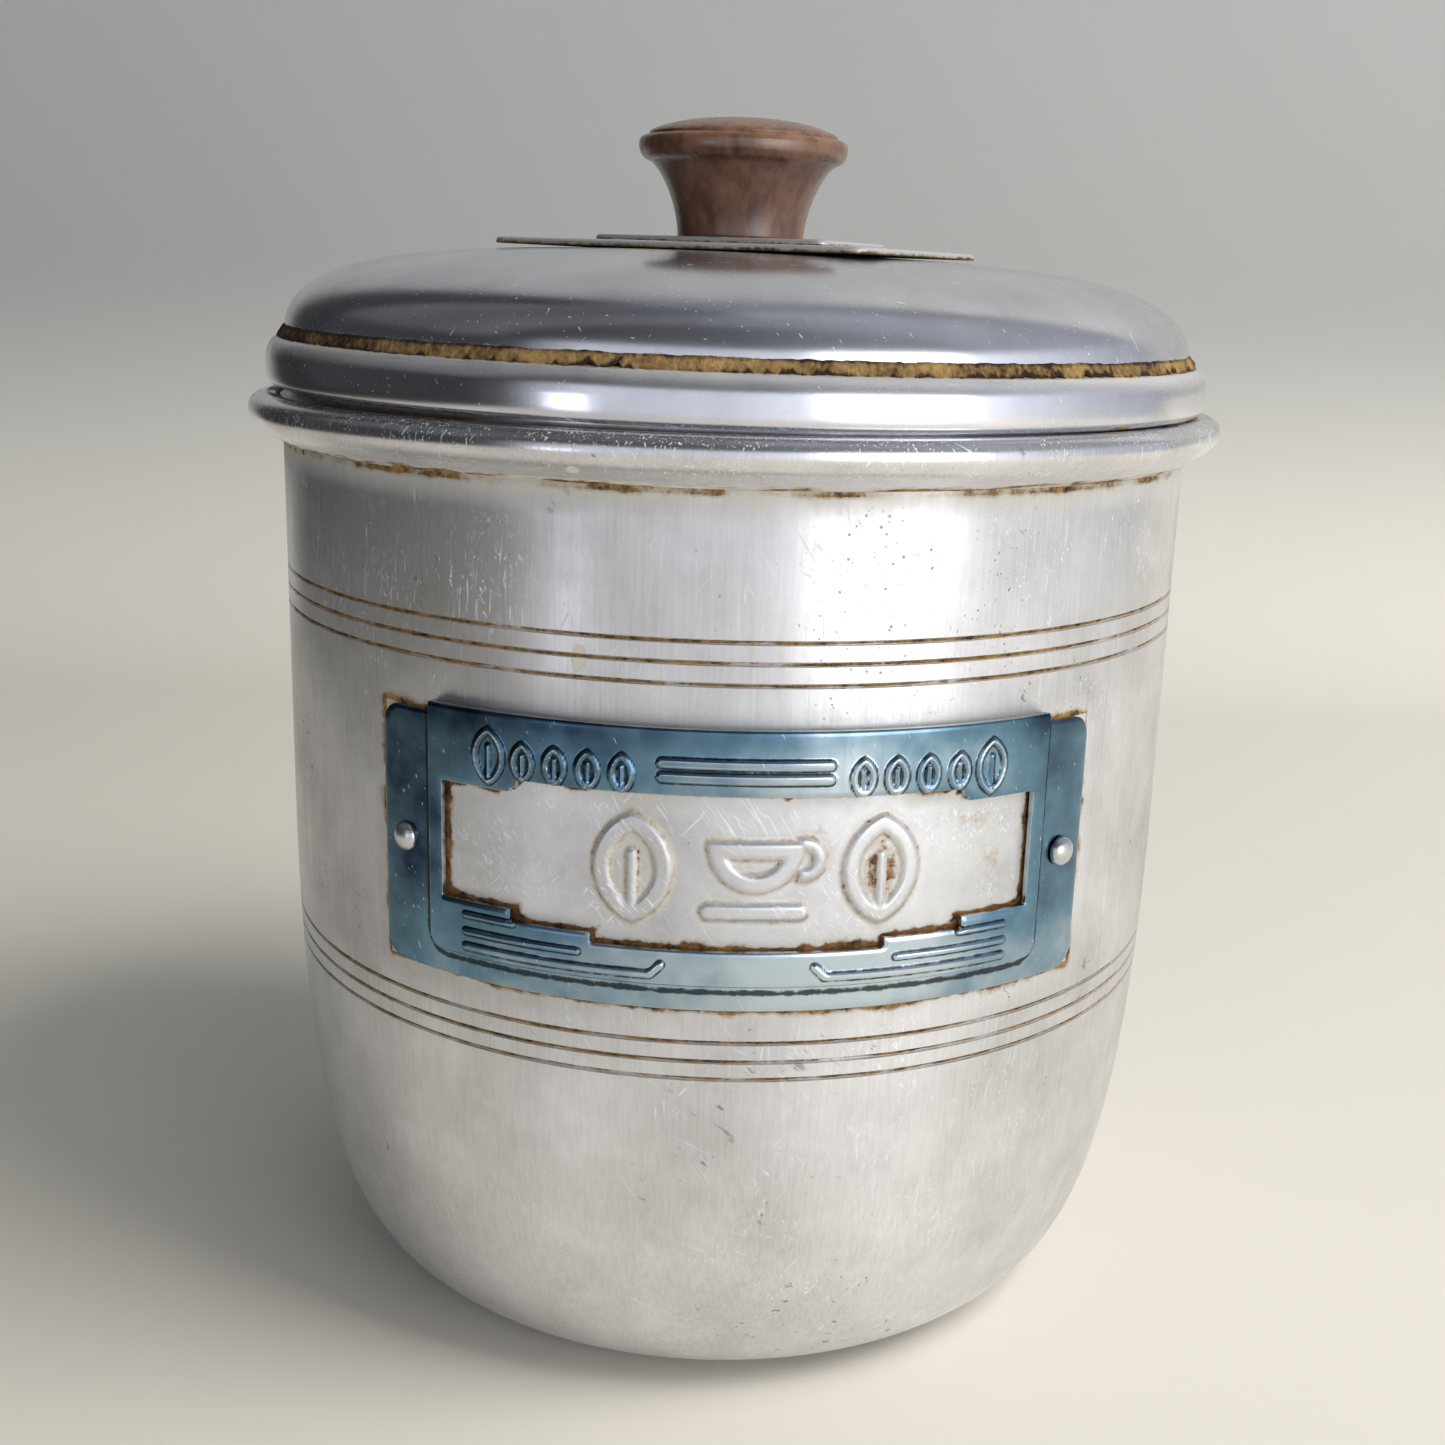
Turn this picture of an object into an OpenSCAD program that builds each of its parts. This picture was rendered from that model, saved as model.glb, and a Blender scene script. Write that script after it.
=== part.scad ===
// Kitchen storage canister in spun aluminium: a round body with a rolled rim, a riveted
// label holder with a loose label plate, and a plug-fit lid with a moulded knob.
// Millimetres, Z up, standing on its foot ring with its front towards -Y.

/* [Body] */
// Outside radius of the wall
body_radius = 57; // [52:0.5:64]
// Height of the rolled rim above the table
body_height = 113.8; // [110:0.5:140]
// Sheet thickness of the body and the lid
sheet = 0.8; // [0.6:0.05:0.9]
// Height at which the wall starts to turn in towards the base
curve_height = 63; // [55:0.5:70]
// Depth of the turned rings
ring_depth = 0.35; // [0.2:0.05:0.45]

/* [Lid] */
// Height of the lid's crown above the rim
crown_height = 17.5; // [14:0.2:24]
// Gap between the lid's plug and the mouth, on the radius
plug_gap = 0.3; // [0.2:0.05:0.6]
// Length of the plug inside the mouth
plug_length = 10.5; // [6:0.5:14]
// How far the lid sits cocked on the rim, in degrees
lid_tilt = 0.64; // [0:0.08:0.8]
// Bearing of the point where the cocked lid touches the rim, to the right of the front
touch_turn = 45; // [-180:5:180]

/* [Knob] */
// Largest radius of the knob
knob_radius = 13.1; // [11:0.1:15]
// Height of the knob above its plates
knob_height = 14.5; // [13:0.5:17]
// Turn of the two plates under the knob
plate_turn = -27; // [-90:1:90]

/* [Label] */
// Bearing of the holder's middle, to the right of the front
label_turn = 2; // [-10:0.5:10]
// Half the width of the holder's flange
holder_half = 39.3; // [38:0.1:41]
// Half the width of the pressed-up pocket
pocket_half = 34.1; // [33.5:0.1:35]
// Thickness of the holder's sheet
holder_sheet = 0.55; // [0.4:0.05:0.55]

/* [Hidden] */
$fn = 96;

R = body_radius;
H = body_height;
foot_in = R - 27;                      // inner edge of the foot ring
foot_out = R - 23;                     // where the foot ring meets the curve
recess = 0.8;                          // lift of the base inside the foot ring
crown = H + crown_height;              // top of the lid, under the plates
plate_h = 0.8;                         // each plate under the knob
knob_z = crown + 2 * plate_h;          // bottom of the knob
low_rings = [44.56, 46.65, 48.88];
top_rings = [88.38, 90.64, 92.86];
flange_z = [52.9, 82.6];
pocket_z = [55.55, 84.05];
flange_r = R + 0.05;                   // back of the flange
pocket_r = R + 1.25;                   // back of the pressed-up field
label_r = R + 0.25;                    // back of the label plate
label_sheet = 0.4;
rivet_z = [67.7, 67.4];
rivet_turn = [-37.3, 41.1];
shank = 0.8;                           // rivet shank radius
screw_r = 1.95;
metal = [0.78, 0.78, 0.79];
blued = [0.23, 0.36, 0.46];
brown = [0.30, 0.19, 0.16];
brass = [0.72, 0.56, 0.27];

// Points along a cubic curve
function bez(p, n = 10) = [for (i = [0:n]) let(t = i / n)
    pow(1 - t, 3) * p[0] + 3 * t * pow(1 - t, 2) * p[1] + 3 * t * t * (1 - t) * p[2]
    + pow(t, 3) * p[3]];

// Points round a circle from angle a to angle b
function arc(c, r, a, b, n = 6) = [for (i = [0:n]) let(t = a + (b - a) * i / n)
    c + r * [cos(t), sin(t)]];

// Outside radius of the body at height z
function wall_r(z) = z >= curve_height ? R : let(t = 1 - pow(z / curve_height, 1 / 3))
    R * (pow(1 - t, 3) + 3 * t * pow(1 - t, 2)) + 3 * t * t * (1 - t) * (R - 10.6)
    + pow(t, 3) * foot_out;

// Round-cornered outline, rb at the bottom corners and rt at the top ones
function panel(x, z0, z1, rb, rt) = concat(
    arc([x - rb, z0 + rb], rb, -90, 0), arc([x - rt, z1 - rt], rt, 0, 90),
    arc([rt - x, z1 - rt], rt, 90, 180), arc([rb - x, z0 + rb], rb, 180, 270));

// Tube standing on height z0
module tube(r0, r1, z0, z1) {
    difference() {
        translate([0, 0, z0]) cylinder(r = r1, h = z1 - z0);
        translate([0, 0, z0 - 1]) cylinder(r = r0, h = z1 - z0 + 2);
    }
}

// Wraps a flat outline, drawn as seen from the front, round the body between two radii
module wrapped(r0, r1) {
    rotate([0, 0, label_turn]) intersection() {
        rotate([90, 0, 0]) linear_extrude(height = 2 * R) children();
        tube(r0, r1, 30, 100);
    }
}

// Puts a piece drawn along +X on the body at a bearing to the right of the front
module at_bearing(turn, z) {
    rotate([0, 0, turn - 90]) translate([0, 0, z]) children();
}

// Sets a piece of the lid down on the rim, cocked about the point where it touches
module seated() {
    c = [(R + 1.6) * sin(touch_turn), -(R + 1.6) * cos(touch_turn), H];
    translate(c) rotate(a = lid_tilt, v = [cos(touch_turn), sin(touch_turn), 0])
        translate(-c) children();
}

// Plain rod along +X from x0 to x1
module rod(r, x0, x1) {
    translate([x0, 0, 0]) rotate([0, 90, 0]) cylinder(r = r, h = x1 - x0);
}

body_profile = concat(
    [[0, recess], [foot_in, recess], [foot_in + 1.1, 0]],
    bez([[foot_out, 0], [R - 10.6, 0], [R, 0], [R, curve_height]], 22),
    bez([[R, H - 2.3], [R, H - 1.3], [R + 0.7, H - 0.8], [R + 1.6, H - 0.8]], 5),
    bez([[R + 1.7, H - 0.8], [R + 2.7, H - 0.8], [R + 3.4, H - 1.2], [R + 3.4, H - 1.9]], 5),
    bez([[R + 3.4, H - 2], [R + 3.4, H - 2.7], [R + 2, H - 3.6], [R + 0.45, H - 4.5]], 7),
    bez([[R + 0.3, H - 5.5], [R + 2.4, H - 4.4], [R + 4.2, H - 3.2], [R + 4.2, H - 1.9]], 10),
    bez([[R + 4.2, H - 1.8], [R + 4.2, H - 0.7], [R + 3.2, H], [R + 1.7, H]], 8),
    bez([[R + 1.5, H], [R + 0.2, H], [R - sheet, H - 0.8], [R - sheet, H - 2.2]], 8),
    bez([[R - sheet, curve_height], [R - sheet, sheet + 0.4], [R - 11, sheet],
         [foot_out, sheet]], 22),
    [[foot_in + 1.5, sheet], [foot_in + 0.4, recess + sheet], [0, recess + sheet]]);

lid_profile = concat(
    bez([[0, crown], [0.628 * R, crown], [R - 1.4, crown - 1], [R - 0.5, H + 7]], 26),
    [[R - 0.65, H + 6.8], [R - 1, H + 6.62], [R - 2.1, H + 6.55], [R - 2.1, H + 6],
     [R - 0.1, H + 5.8]],
    bez([[R + 0.2, H + 5.72], [R + 1.3, H + 5.4], [R + 1.8, H + 4.2], [R + 1.8, H + 3]], 8),
    bez([[R + 1.8, H + 2.9], [R + 1.8, H + 1.6], [R + 1.8, H + 0.6], [R + 1.35, H + 0.25]], 7),
    [[R - sheet - plug_gap, H + 0.25], [R - sheet - plug_gap, H - plug_length + 0.8]],
    arc([R - sheet - plug_gap - 0.8, H - plug_length + 0.8], 0.8, 0, -90, 4),
    [[R - sheet - plug_gap - 1.7, H - plug_length],
     [R - sheet - plug_gap - 1.7, H - plug_length + 0.7],
     [R - sheet - plug_gap - 0.8, H - plug_length + 0.8],
     [R - sheet - plug_gap - 0.8, H + 1.05], [R + 0.5, H + 1.1], [R + 0.9, H + 1.7]],
    bez([[R + 1, H + 2.4], [R + 1, H + 3.8], [R + 0.6, H + 4.75], [R - 0.2, H + 5]], 5),
    [[R - 2.9, H + 5.25], [R - 2.9, H + 7.35], [R - 1.4, H + 7.45]],
    bez([[R - 1.35, H + 7.7], [R - 2.2, crown - 1.8], [0.62 * R, crown - 0.8],
         [0, crown - 0.8]], 26));

knob_profile = let(k = knob_radius, z = knob_z, t = knob_height) concat(
    [[0, z], [k - 5.25, z], [k - 5.12, z + 0.15]],
    bez([[k - 5.1, z + 0.3], [k - 5, z + 3.2], [k - 3.5, z + 7.3], [k - 1.6, z + t - 5.5]], 12),
    bez([[k - 1.2, z + t - 5.35], [k - 0.5, z + t - 5.2], [k, z + t - 4.4], [k, z + t - 3.5]], 6),
    bez([[k, z + t - 3.3], [k, z + t - 2.8], [k - 0.4, z + t - 2.45], [k - 1, z + t - 2.4]], 4),
    [[k - 1.2, z + t - 2.35], [k - 1.25, z + t - 2.05]],
    bez([[k - 1.5, z + t - 1.8], [k - 4, z + t - 0.6], [k - 8, z + t], [0, z + t]], 12));

// Outline of a leaf standing on its stalk, half-width w and half-length h
module leaf(w, h) {
    r = (w * w + h * h) / (2 * w);
    intersection() {
        translate([r - w, 0]) circle(r = r, $fn = 96);
        translate([w - r, 0]) circle(r = r, $fn = 96);
    }
}

// Leaf drawn as a raised outline with a middle rib
module leaf_line(w, h, line) {
    difference() {
        leaf(w, h);
        leaf(w - line, h - 1.6 * line);
    }
    translate([-line / 2, -h + line]) square([line, 1.7 * h - line]);
}

// Round-ended bar between x0 and x1 at height z
module bar(x0, x1, z, w) {
    translate([x0, z - w / 2]) square([x1 - x0, w]);
    for (x = [x0, x1]) translate([x, z]) circle(d = w, $fn = 32);
}

// Cup and saucer drawn as a raised outline, its foot at the origin
module cup_line(line) {
    difference() {
        union() {
            intersection() {
                translate([0, 8]) circle(r = 5, $fn = 64);
                translate([-6, 1.5]) square([12, 7.5]);
            }
            translate([5, 6.6]) circle(r = 2, $fn = 48);
        }
        intersection() {
            translate([0, 8]) circle(r = 5 - line, $fn = 64);
            translate([-6, 1.5 + line]) square([12, 7.5 - 2 * line]);
        }
        translate([5.1, 6.6]) circle(r = 2 - 0.6 * line, $fn = 48);
    }
    bar(-4.6, 4.6, 0.7, line);
}

// Opening in the pocket, wide in the middle and stepped at its corners
module window() {
    translate([-32.1, 62.45]) square([64.2, 13.15]);
    translate([-24.4, 61.1]) square([48.8, 8]);
    translate([-15.7, 60]) square([31.4, 8]);
    translate([-23.7, 68]) square([47.4, 9]);
}

// Outline of everything raised on the pocket
module holder_relief() {
    for (z = [78.95, 80.45]) bar(-8, 8.6, z, 0.9);
    for (s = [-1, 1]) {
        bar(min(s * 29, s * 24.4), max(s * 29, s * 24.4), 60.9, 0.7);
        bar(min(s * 29, s * 17), max(s * 29, s * 17), 59, 0.7);
        bar(min(s * 29, s * 9), max(s * 29, s * 9), 57.3, 0.8);
        translate([s * 8.6, 58]) rotate([0, 0, -s * 45]) square([0.7, 1.6], center = true);
        translate([s * 27.2, 79.2]) leaf_line(1.9, 3.1, 0.6);
        for (i = [0:3]) translate([s * (23.2 - 3.6 * i), 79]) leaf_line(1.3, 2.2, 0.5);
    }
}

module canister_body() {
    color(metal) difference() {
        rotate_extrude() polygon(body_profile);
        for (z = concat(low_rings, top_rings)) let(r = wall_r(z)) rotate_extrude()
            polygon([[r + 0.5, z - 0.5], [r - ring_depth, z - 0.12],
                     [r - ring_depth, z + 0.12], [r + 0.5, z + 0.5]]);
        for (i = [0, 1]) at_bearing(rivet_turn[i], rivet_z[i]) rod(shank + 0.05, R - 4, R + 4);
    }
}

module label_holder() {
    inner = pocket_half - holder_sheet;
    color(blued) difference() {
        union() {
            wrapped(flange_r, flange_r + holder_sheet) difference() {
                polygon(panel(holder_half, flange_z[0], flange_z[1], 3, 1.5));
                translate([-inner, pocket_z[0] + holder_sheet]) square([2 * inner, 40]);
            }
            wrapped(flange_r, pocket_r + holder_sheet) difference() {
                polygon(panel(pocket_half, pocket_z[0], pocket_z[1], 2.5, 0.8));
                translate([-inner, pocket_z[0] + holder_sheet]) square([2 * inner, 40]);
            }
            wrapped(pocket_r, pocket_r + holder_sheet) difference() {
                polygon(panel(pocket_half, pocket_z[0], pocket_z[1], 2.5, 0.8));
                window();
            }
            wrapped(pocket_r + holder_sheet - 0.2, pocket_r + holder_sheet + 0.35)
                holder_relief();
        }
        for (i = [0, 1]) at_bearing(rivet_turn[i], rivet_z[i]) rod(shank + 0.05, R - 4, R + 4);
    }
}

module label_plate() {
    half = pocket_half - holder_sheet - 0.45;
    color(metal) union() {
        wrapped(label_r, label_r + label_sheet)
            translate([-half, pocket_z[0] + holder_sheet + 0.35]) square([2 * half, 22.5]);
        wrapped(label_r + label_sheet - 0.2, label_r + label_sheet + 0.4) {
            translate([-11.4, 68.6]) leaf_line(4.1, 6, 1.5);
            translate([2.2, 63.2]) cup_line(1.5);
            translate([15, 68.6]) leaf_line(4.1, 6, 1.5);
        }
    }
}

// Round-headed rivet with its clinched tail inside the wall
module rivet(head_r, head_h, collar) {
    seat = flange_r + holder_sheet + 0.03;
    color(metal) {
        rod(shank, R - sheet - 0.4, seat + 0.2);
        rotate([0, 90, 0]) rotate_extrude() polygon(concat(
            [[0, seat]], [[head_r - 0.1, seat]],
            [[head_r, seat + 0.1], [head_r, seat + collar]],
            bez([[head_r - 0.05, seat + collar + 0.1], [head_r - 0.1, seat + head_h - 0.3],
                 [head_r - 0.75, seat + head_h], [0, seat + head_h]], 8)));
        rotate([0, 90, 0]) rotate_extrude() polygon(
            [[0, R - sheet - 0.75], [1.1, R - sheet - 0.75], [1.4, R - sheet - 0.5],
             [1.4, R - sheet - 0.07], [0, R - sheet - 0.07]]);
    }
}

module rivet_left() {
    at_bearing(rivet_turn[0], rivet_z[0]) rivet(1.65, 1.1, 0.25);
}

module rivet_right() {
    at_bearing(rivet_turn[1], rivet_z[1]) rivet(1.7, 1.35, 0.5);
}

module lid_shell() {
    seated() color(metal) difference() {
        rotate_extrude() polygon(lid_profile);
        translate([0, 0, crown - 3]) cylinder(r = screw_r + 0.2, h = 6, $fn = 32);
    }
}

// Thin oblong plate with round corners, its upper edge bevelled, half-sizes a and b
module plate(a, b, corner, z) {
    bevel = 0.3;
    seated() color(metal) translate([0, 0, z]) rotate([0, 0, plate_turn]) difference() {
        intersection() {
            linear_extrude(height = plate_h) polygon(concat(
                arc([a - corner, corner - b], corner, -90, 0),
                arc([a - corner, b - corner], corner, 0, 90),
                arc([corner - a, b - corner], corner, 90, 180),
                arc([corner - a, corner - b], corner, 180, 270)));
            translate([0, b + 1, 0]) rotate([90, 0, 0]) linear_extrude(height = 2 * b + 2)
                polygon([[-a, 0], [a, 0], [a, plate_h - bevel], [a - bevel, plate_h],
                         [bevel - a, plate_h], [-a, plate_h - bevel]]);
            translate([-a - 1, 0, 0]) rotate([90, 0, 90]) linear_extrude(height = 2 * a + 2)
                polygon([[-b, 0], [b, 0], [b, plate_h - bevel], [b - bevel, plate_h],
                         [bevel - b, plate_h], [-b, plate_h - bevel]]);
        }
        translate([0, 0, -1]) cylinder(r = screw_r + 0.2, h = 4, $fn = 32);
    }
}

module plate_lower() {
    plate(25.5, 19, 2.6, crown);
}

module plate_upper() {
    plate(16.25, 9.75, 1.8, crown + plate_h);
}

module knob() {
    seated() color(brown) difference() {
        rotate_extrude() polygon(knob_profile);
        translate([0, 0, knob_z - 1]) cylinder(r = 3.52, h = 10, $fn = 48);
    }
}

module knob_insert() {
    seated() color(brass) difference() {
        translate([0, 0, knob_z + 0.05]) cylinder(r = 3.5, h = 8.9, $fn = 48);
        translate([0, 0, knob_z - 1]) cylinder(r = screw_r + 0.05, h = 9, $fn = 32);
    }
}

module knob_screw() {
    head_z = crown - 0.8 - 0.9 - 0.05;
    seated() color(metal) difference() {
        union() {
            translate([0, 0, head_z - 0.1]) cylinder(r = screw_r, h = 10.2, $fn = 32);
            rotate_extrude() polygon(concat([[0, head_z], [3.6, head_z]],
                bez([[3.6, head_z - 1.4], [3.5, head_z - 2], [2.6, head_z - 2.3],
                     [0, head_z - 2.3]], 6)));
        }
        translate([-5, -0.45, head_z - 4]) cube([10, 0.9, 2.9]);
    }
}

module knob_washer() {
    seated() color(metal)
        tube(screw_r + 0.2, 5.5, crown - 0.8 - 0.03 - 0.85, crown - 0.8 - 0.03);
}

canister_body();
label_holder();
label_plate();
rivet_left();
rivet_right();
lid_shell();
plate_lower();
plate_upper();
knob();
knob_insert();
knob_screw();
knob_washer();
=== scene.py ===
import math
import bpy
import numpy as np
from mathutils import Matrix, Vector, noise


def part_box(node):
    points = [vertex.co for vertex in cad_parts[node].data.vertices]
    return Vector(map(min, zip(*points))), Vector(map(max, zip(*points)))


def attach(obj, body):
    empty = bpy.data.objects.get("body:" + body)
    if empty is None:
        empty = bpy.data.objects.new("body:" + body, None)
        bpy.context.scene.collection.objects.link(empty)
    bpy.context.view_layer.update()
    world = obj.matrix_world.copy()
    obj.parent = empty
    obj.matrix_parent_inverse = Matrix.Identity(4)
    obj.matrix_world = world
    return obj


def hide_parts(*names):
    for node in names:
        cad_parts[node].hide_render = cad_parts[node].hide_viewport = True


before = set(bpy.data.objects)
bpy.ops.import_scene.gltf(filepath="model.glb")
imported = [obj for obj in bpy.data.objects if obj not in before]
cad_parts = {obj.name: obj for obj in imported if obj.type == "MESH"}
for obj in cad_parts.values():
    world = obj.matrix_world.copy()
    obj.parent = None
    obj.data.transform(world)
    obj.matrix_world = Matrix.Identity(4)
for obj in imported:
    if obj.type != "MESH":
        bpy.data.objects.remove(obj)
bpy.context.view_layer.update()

mm = 0.001
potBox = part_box("canister_body")
rimTop = potBox[1][2] / mm                    # height of the rolled rim
rimReach = 4.1                                # how far the rim stands out from the wall
wallRadius = min(potBox[1][0], potBox[1][1]) / mm - rimReach
sheet = 0.8                                   # spun sheet of the pot and the lid
holder = {
    "turn": 2.0, "radius": 57.9,              # bearing of its middle; radius that it is unrolled on
    "flange": (43.4, 52.9, 82.6),             # half width round the wall, bottom, top
    "pocket": (35.8, 55.55, 84.05),
    "flangeOut": 57.6, "pocketOut": 58.8, "thick": 0.55, "foldWidth": 0.75,
}
print("frame loaded: rim at %.1f mm, wall radius %.2f mm" % (rimTop, wallRadius))


def curvePoints(p, count):
    # points along a cubic curve with four control points
    return [tuple((1 - t) ** 3 * p[0][k] + 3 * t * (1 - t) ** 2 * p[1][k]
                  + 3 * t * t * (1 - t) * p[2][k] + t ** 3 * p[3][k] for k in (0, 1))
            for t in (i / count for i in range(count + 1))]


def toLinear(hexColour):
    values = [int(hexColour[i:i + 2], 16) / 255 for i in (1, 3, 5)]
    return tuple(v / 12.92 if v <= 0.04045 else ((v + 0.055) / 1.055) ** 2.4 for v in values) + (1,)


def addNode(tree, kind, *values):
    # "Math.ADD" is a kind and its operation or data type. Values fill the inputs in use, in their
    # order, and a dict names settings and other inputs. What comes from a node is linked, and a
    # node given whole stands for its first output in use.
    kind, unused, mode = kind.partition(".")
    node = tree.nodes.new(kind if "Node" in kind else "ShaderNode" + kind)
    if mode:
        setattr(node, "operation" if hasattr(node, "operation") else "data_type", mode)
    named = {}
    for value in values:
        named.update(value if isinstance(value, dict) else {})
    for key in [key for key in named if isinstance(key, str) and hasattr(node, key)]:
        setattr(node, key, named.pop(key))
    inUse = [socket for socket in node.inputs if socket.enabled]
    given = list(zip(inUse, [value for value in values if not isinstance(value, dict)]))
    for socket, value in given + [(node.inputs[key], value) for key, value in named.items()]:
        if isinstance(value, bpy.types.Node):
            value = next(output for output in value.outputs if output.enabled)
        if isinstance(value, bpy.types.NodeSocket):
            tree.links.new(value, socket)
        else:
            socket.default_value = value
    return node


def meshPiece(name, verts, faces, material=None):
    mesh = bpy.data.meshes.new(name)
    mesh.from_pydata(verts, [], faces)
    mesh.update()
    piece = bpy.data.objects.new(name, mesh)
    bpy.context.scene.collection.objects.link(piece)
    if material:
        mesh.materials.append(material)
    return piece


def settle(piece, body, nodes=(), sharp=35):
    # smooth shading with crisp folds, then the piece is tied to its body
    piece.data.shade_smooth()
    piece.data.set_sharp_from_angle(angle=math.radians(sharp))
    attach(piece, body)
    if nodes:
        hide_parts(*nodes)


def vertexArray(mesh):
    co = np.empty(len(mesh.vertices) * 3)
    mesh.vertices.foreach_get("co", co)
    return co.reshape(-1, 3)


def addPointValue(piece, name, values):
    layer = piece.data.attributes.new(name, "FLOAT", "POINT")
    layer.data.foreach_set("value", np.asarray(values, dtype=np.float32))


# materials

def newMaterial(name):
    material = bpy.data.materials.new(name)
    material.use_nodes = True
    material.node_tree.nodes.clear()
    return material, material.node_tree


def dullMetal(name, look):
    # Soft aluminium sheet, spun and then rubbed with a cloth. The eye gets a broad grey gloss
    # drawn out along the rub marks, duller where oxide has grown, with bright handling
    # scratches, brown pits, and dirt, with some painted shade in the pot's seam, where the mesh
    # carries the values dirt and haze.
    material, tree = newMaterial(name)

    place = addNode(tree, "TexCoord").outputs["Object"]
    rubMap = addNode(tree, "Mapping", place, {"Scale": look["rub"]})
    rub = addNode(tree, "TexNoise", rubMap, 1, 4, 0.65)
    # oxide clouds, 16 mm down to 1 mm
    cloud = addNode(tree, "TexNoise", place, 60, 7, 0.62)
    # 1 mm mottle
    grain = addNode(tree, "TexNoise", place, 900, 3, 0.6)
    tone = addNode(tree, "Math.MULTIPLY_ADD", rub, 0.4, cloud)
    colour = addNode(tree, "Mix.RGBA", addNode(tree, "MapRange", tone, 0.5, 0.9),
                     toLinear(look["bright"]), toLinear(look["dull"]))
    gloss = addNode(tree, "Math.MULTIPLY_ADD", rub, look["rubGloss"], addNode(tree, "MapRange",
            cloud, 0.3, 0.7, look["gloss"][0], look["gloss"][1]))
    # rolled edges are rubbed bright by hands
    polish = addNode(tree, "Attribute", {"attribute_name": "polish"}).outputs["Fac"]
    gloss = addNode(tree, "Math.MULTIPLY_ADD", polish, -0.16, gloss)

    marks = 0.0
    for lean, across, along, cut, seed in look["scratches"]:
        # a noise stretched along one direction, cut high so that only thin dashes are left
        turned = addNode(tree, "Mapping", place, {"Rotation": (0, math.radians(lean), 0)})
        drawn = addNode(tree, "Mapping", turned, {"Scale": (across, across, along),
                                                  "Location": (seed, 0, 0)})
        marks = addNode(tree, "Math.MAXIMUM", addNode(tree, "MapRange", addNode(tree, "TexNoise",
                drawn, 1, 0, 0.5), cut, cut + 0.06), marks)
    marks = addNode(tree, "Math.MULTIPLY", marks, addNode(tree, "MapRange", addNode(tree,
            "TexNoise", place, 140, 2, 0.6), 0.4, 0.62, 0.15, 1.0))
    colour = addNode(tree, "Mix.RGBA", marks, colour, toLinear("#f6f6f6"))
    gloss = addNode(tree, "Math.MULTIPLY_ADD", marks, 0.2, gloss)

    if look["scuff"]:
        # short grey knocks, only in a few patches
        knocked = addNode(tree, "Mapping", place, {"Rotation": (0, 0.9, 0)})
        knocked = addNode(tree, "Mapping", knocked, {"Scale": (900, 900, 330)})
        scuff = addNode(tree, "Math.MULTIPLY", addNode(tree, "MapRange", addNode(tree, "TexNoise",
                knocked, 1, 3, 0.6), 0.64, 0.68), addNode(tree, "MapRange", addNode(tree,
                "TexNoise", place, 58, 2, 0.6), 0.58, 0.64))
        colour = addNode(tree, "Mix.RGBA", addNode(tree, "Math.MULTIPLY", scuff, look["scuff"]),
                         colour, toLinear("#5c5e63"))

    # pits: brown specks of mixed size, at most 0.4 mm across, gathered in patches
    cells = addNode(tree, "TexVoronoi", {"Scale": 1250, "Vector": place})
    chance = addNode(tree, "SeparateColor", cells.outputs["Color"]).outputs[0]
    size = addNode(tree, "MapRange", chance, 0.0, 1.0, 0.05, 0.26)
    speck = addNode(tree, "MapRange", addNode(tree, "Math.DIVIDE", cells.outputs["Distance"], size),
                    1.1, 0.6)
    gather = addNode(tree, "MapRange", addNode(tree, "Math.MULTIPLY_ADD", addNode(tree, "Attribute",
            {"attribute_name": "pitted"}).outputs["Fac"], 0.2, addNode(tree, "TexNoise", place, 110,
            5, 0.75)), look["pits"], look["pits"] + 0.12)
    pit = addNode(tree, "Math.MULTIPLY", speck, gather)
    colour = addNode(tree, "Mix.RGBA", addNode(tree, "Math.MULTIPLY", pit, 0.8), colour,
                     toLinear("#75644c"))

    # dirt, and painted shade in the pot's seam under the lid: the mesh says where, a fibrous
    # noise breaks it up, and a thin stain surrounds it
    crumb = addNode(tree, "TexNoise", place, look["crumb"], 6, 0.72)
    soilAndShade = addNode(tree, "Attribute", {"attribute_name": "dirt"}).outputs["Fac"]
    if look["frame"]:
        # distance from the outline of the label holder, measured on the unrolled wall
        half, low, high, turnTo, reachOut = look["frame"]
        part = addNode(tree, "SeparateXYZ", place).outputs
        bearing = addNode(tree, "Math.ARCTAN2", part["X"], addNode(tree, "Math.MULTIPLY", part["Y"],
                -1))
        arc = addNode(tree, "Math.MULTIPLY", addNode(tree, "Math.SUBTRACT", bearing, turnTo),
                      reachOut)
        aside = addNode(tree, "Math.MAXIMUM", addNode(tree, "Math.SUBTRACT", addNode(tree,
                "Math.ABSOLUTE", arc), half), 0)
        middle = addNode(tree, "Math.SUBTRACT", part["Z"], (low + high) / 2)
        above = addNode(tree, "Math.MAXIMUM", addNode(tree, "Math.SUBTRACT", addNode(tree,
                "Math.ABSOLUTE", middle), (high - low) / 2), 0)
        away = addNode(tree, "Math.SQRT", addNode(tree, "Math.ADD", addNode(tree, "Math.POWER",
                aside, 2), addNode(tree, "Math.POWER", above, 2)))
        uneven = addNode(tree, "TexNoise", place, 95, 3, 0.6)
        width = addNode(tree, "MapRange", uneven, 0.36, 0.66, 0.3 * mm, 2.3 * mm)
        crust = addNode(tree, "MapRange", addNode(tree, "Math.DIVIDE", away, width), 1.0, 0.0, 0.0,
                        0.8)
        front = addNode(tree, "Math.LESS_THAN", part["Y"], 0)
        beyond = addNode(tree, "Math.GREATER_THAN", away, 0.01 * mm)
        crust = addNode(tree, "Math.MULTIPLY", addNode(tree, "Math.MULTIPLY", crust, front), beyond)
        soilAndShade = addNode(tree, "Math.MAXIMUM", soilAndShade, crust)
    over = addNode(tree, "Math.SUBTRACT", soilAndShade, crumb)
    cover = addNode(tree, "MapRange", over, -0.05, 0.06)
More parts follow.
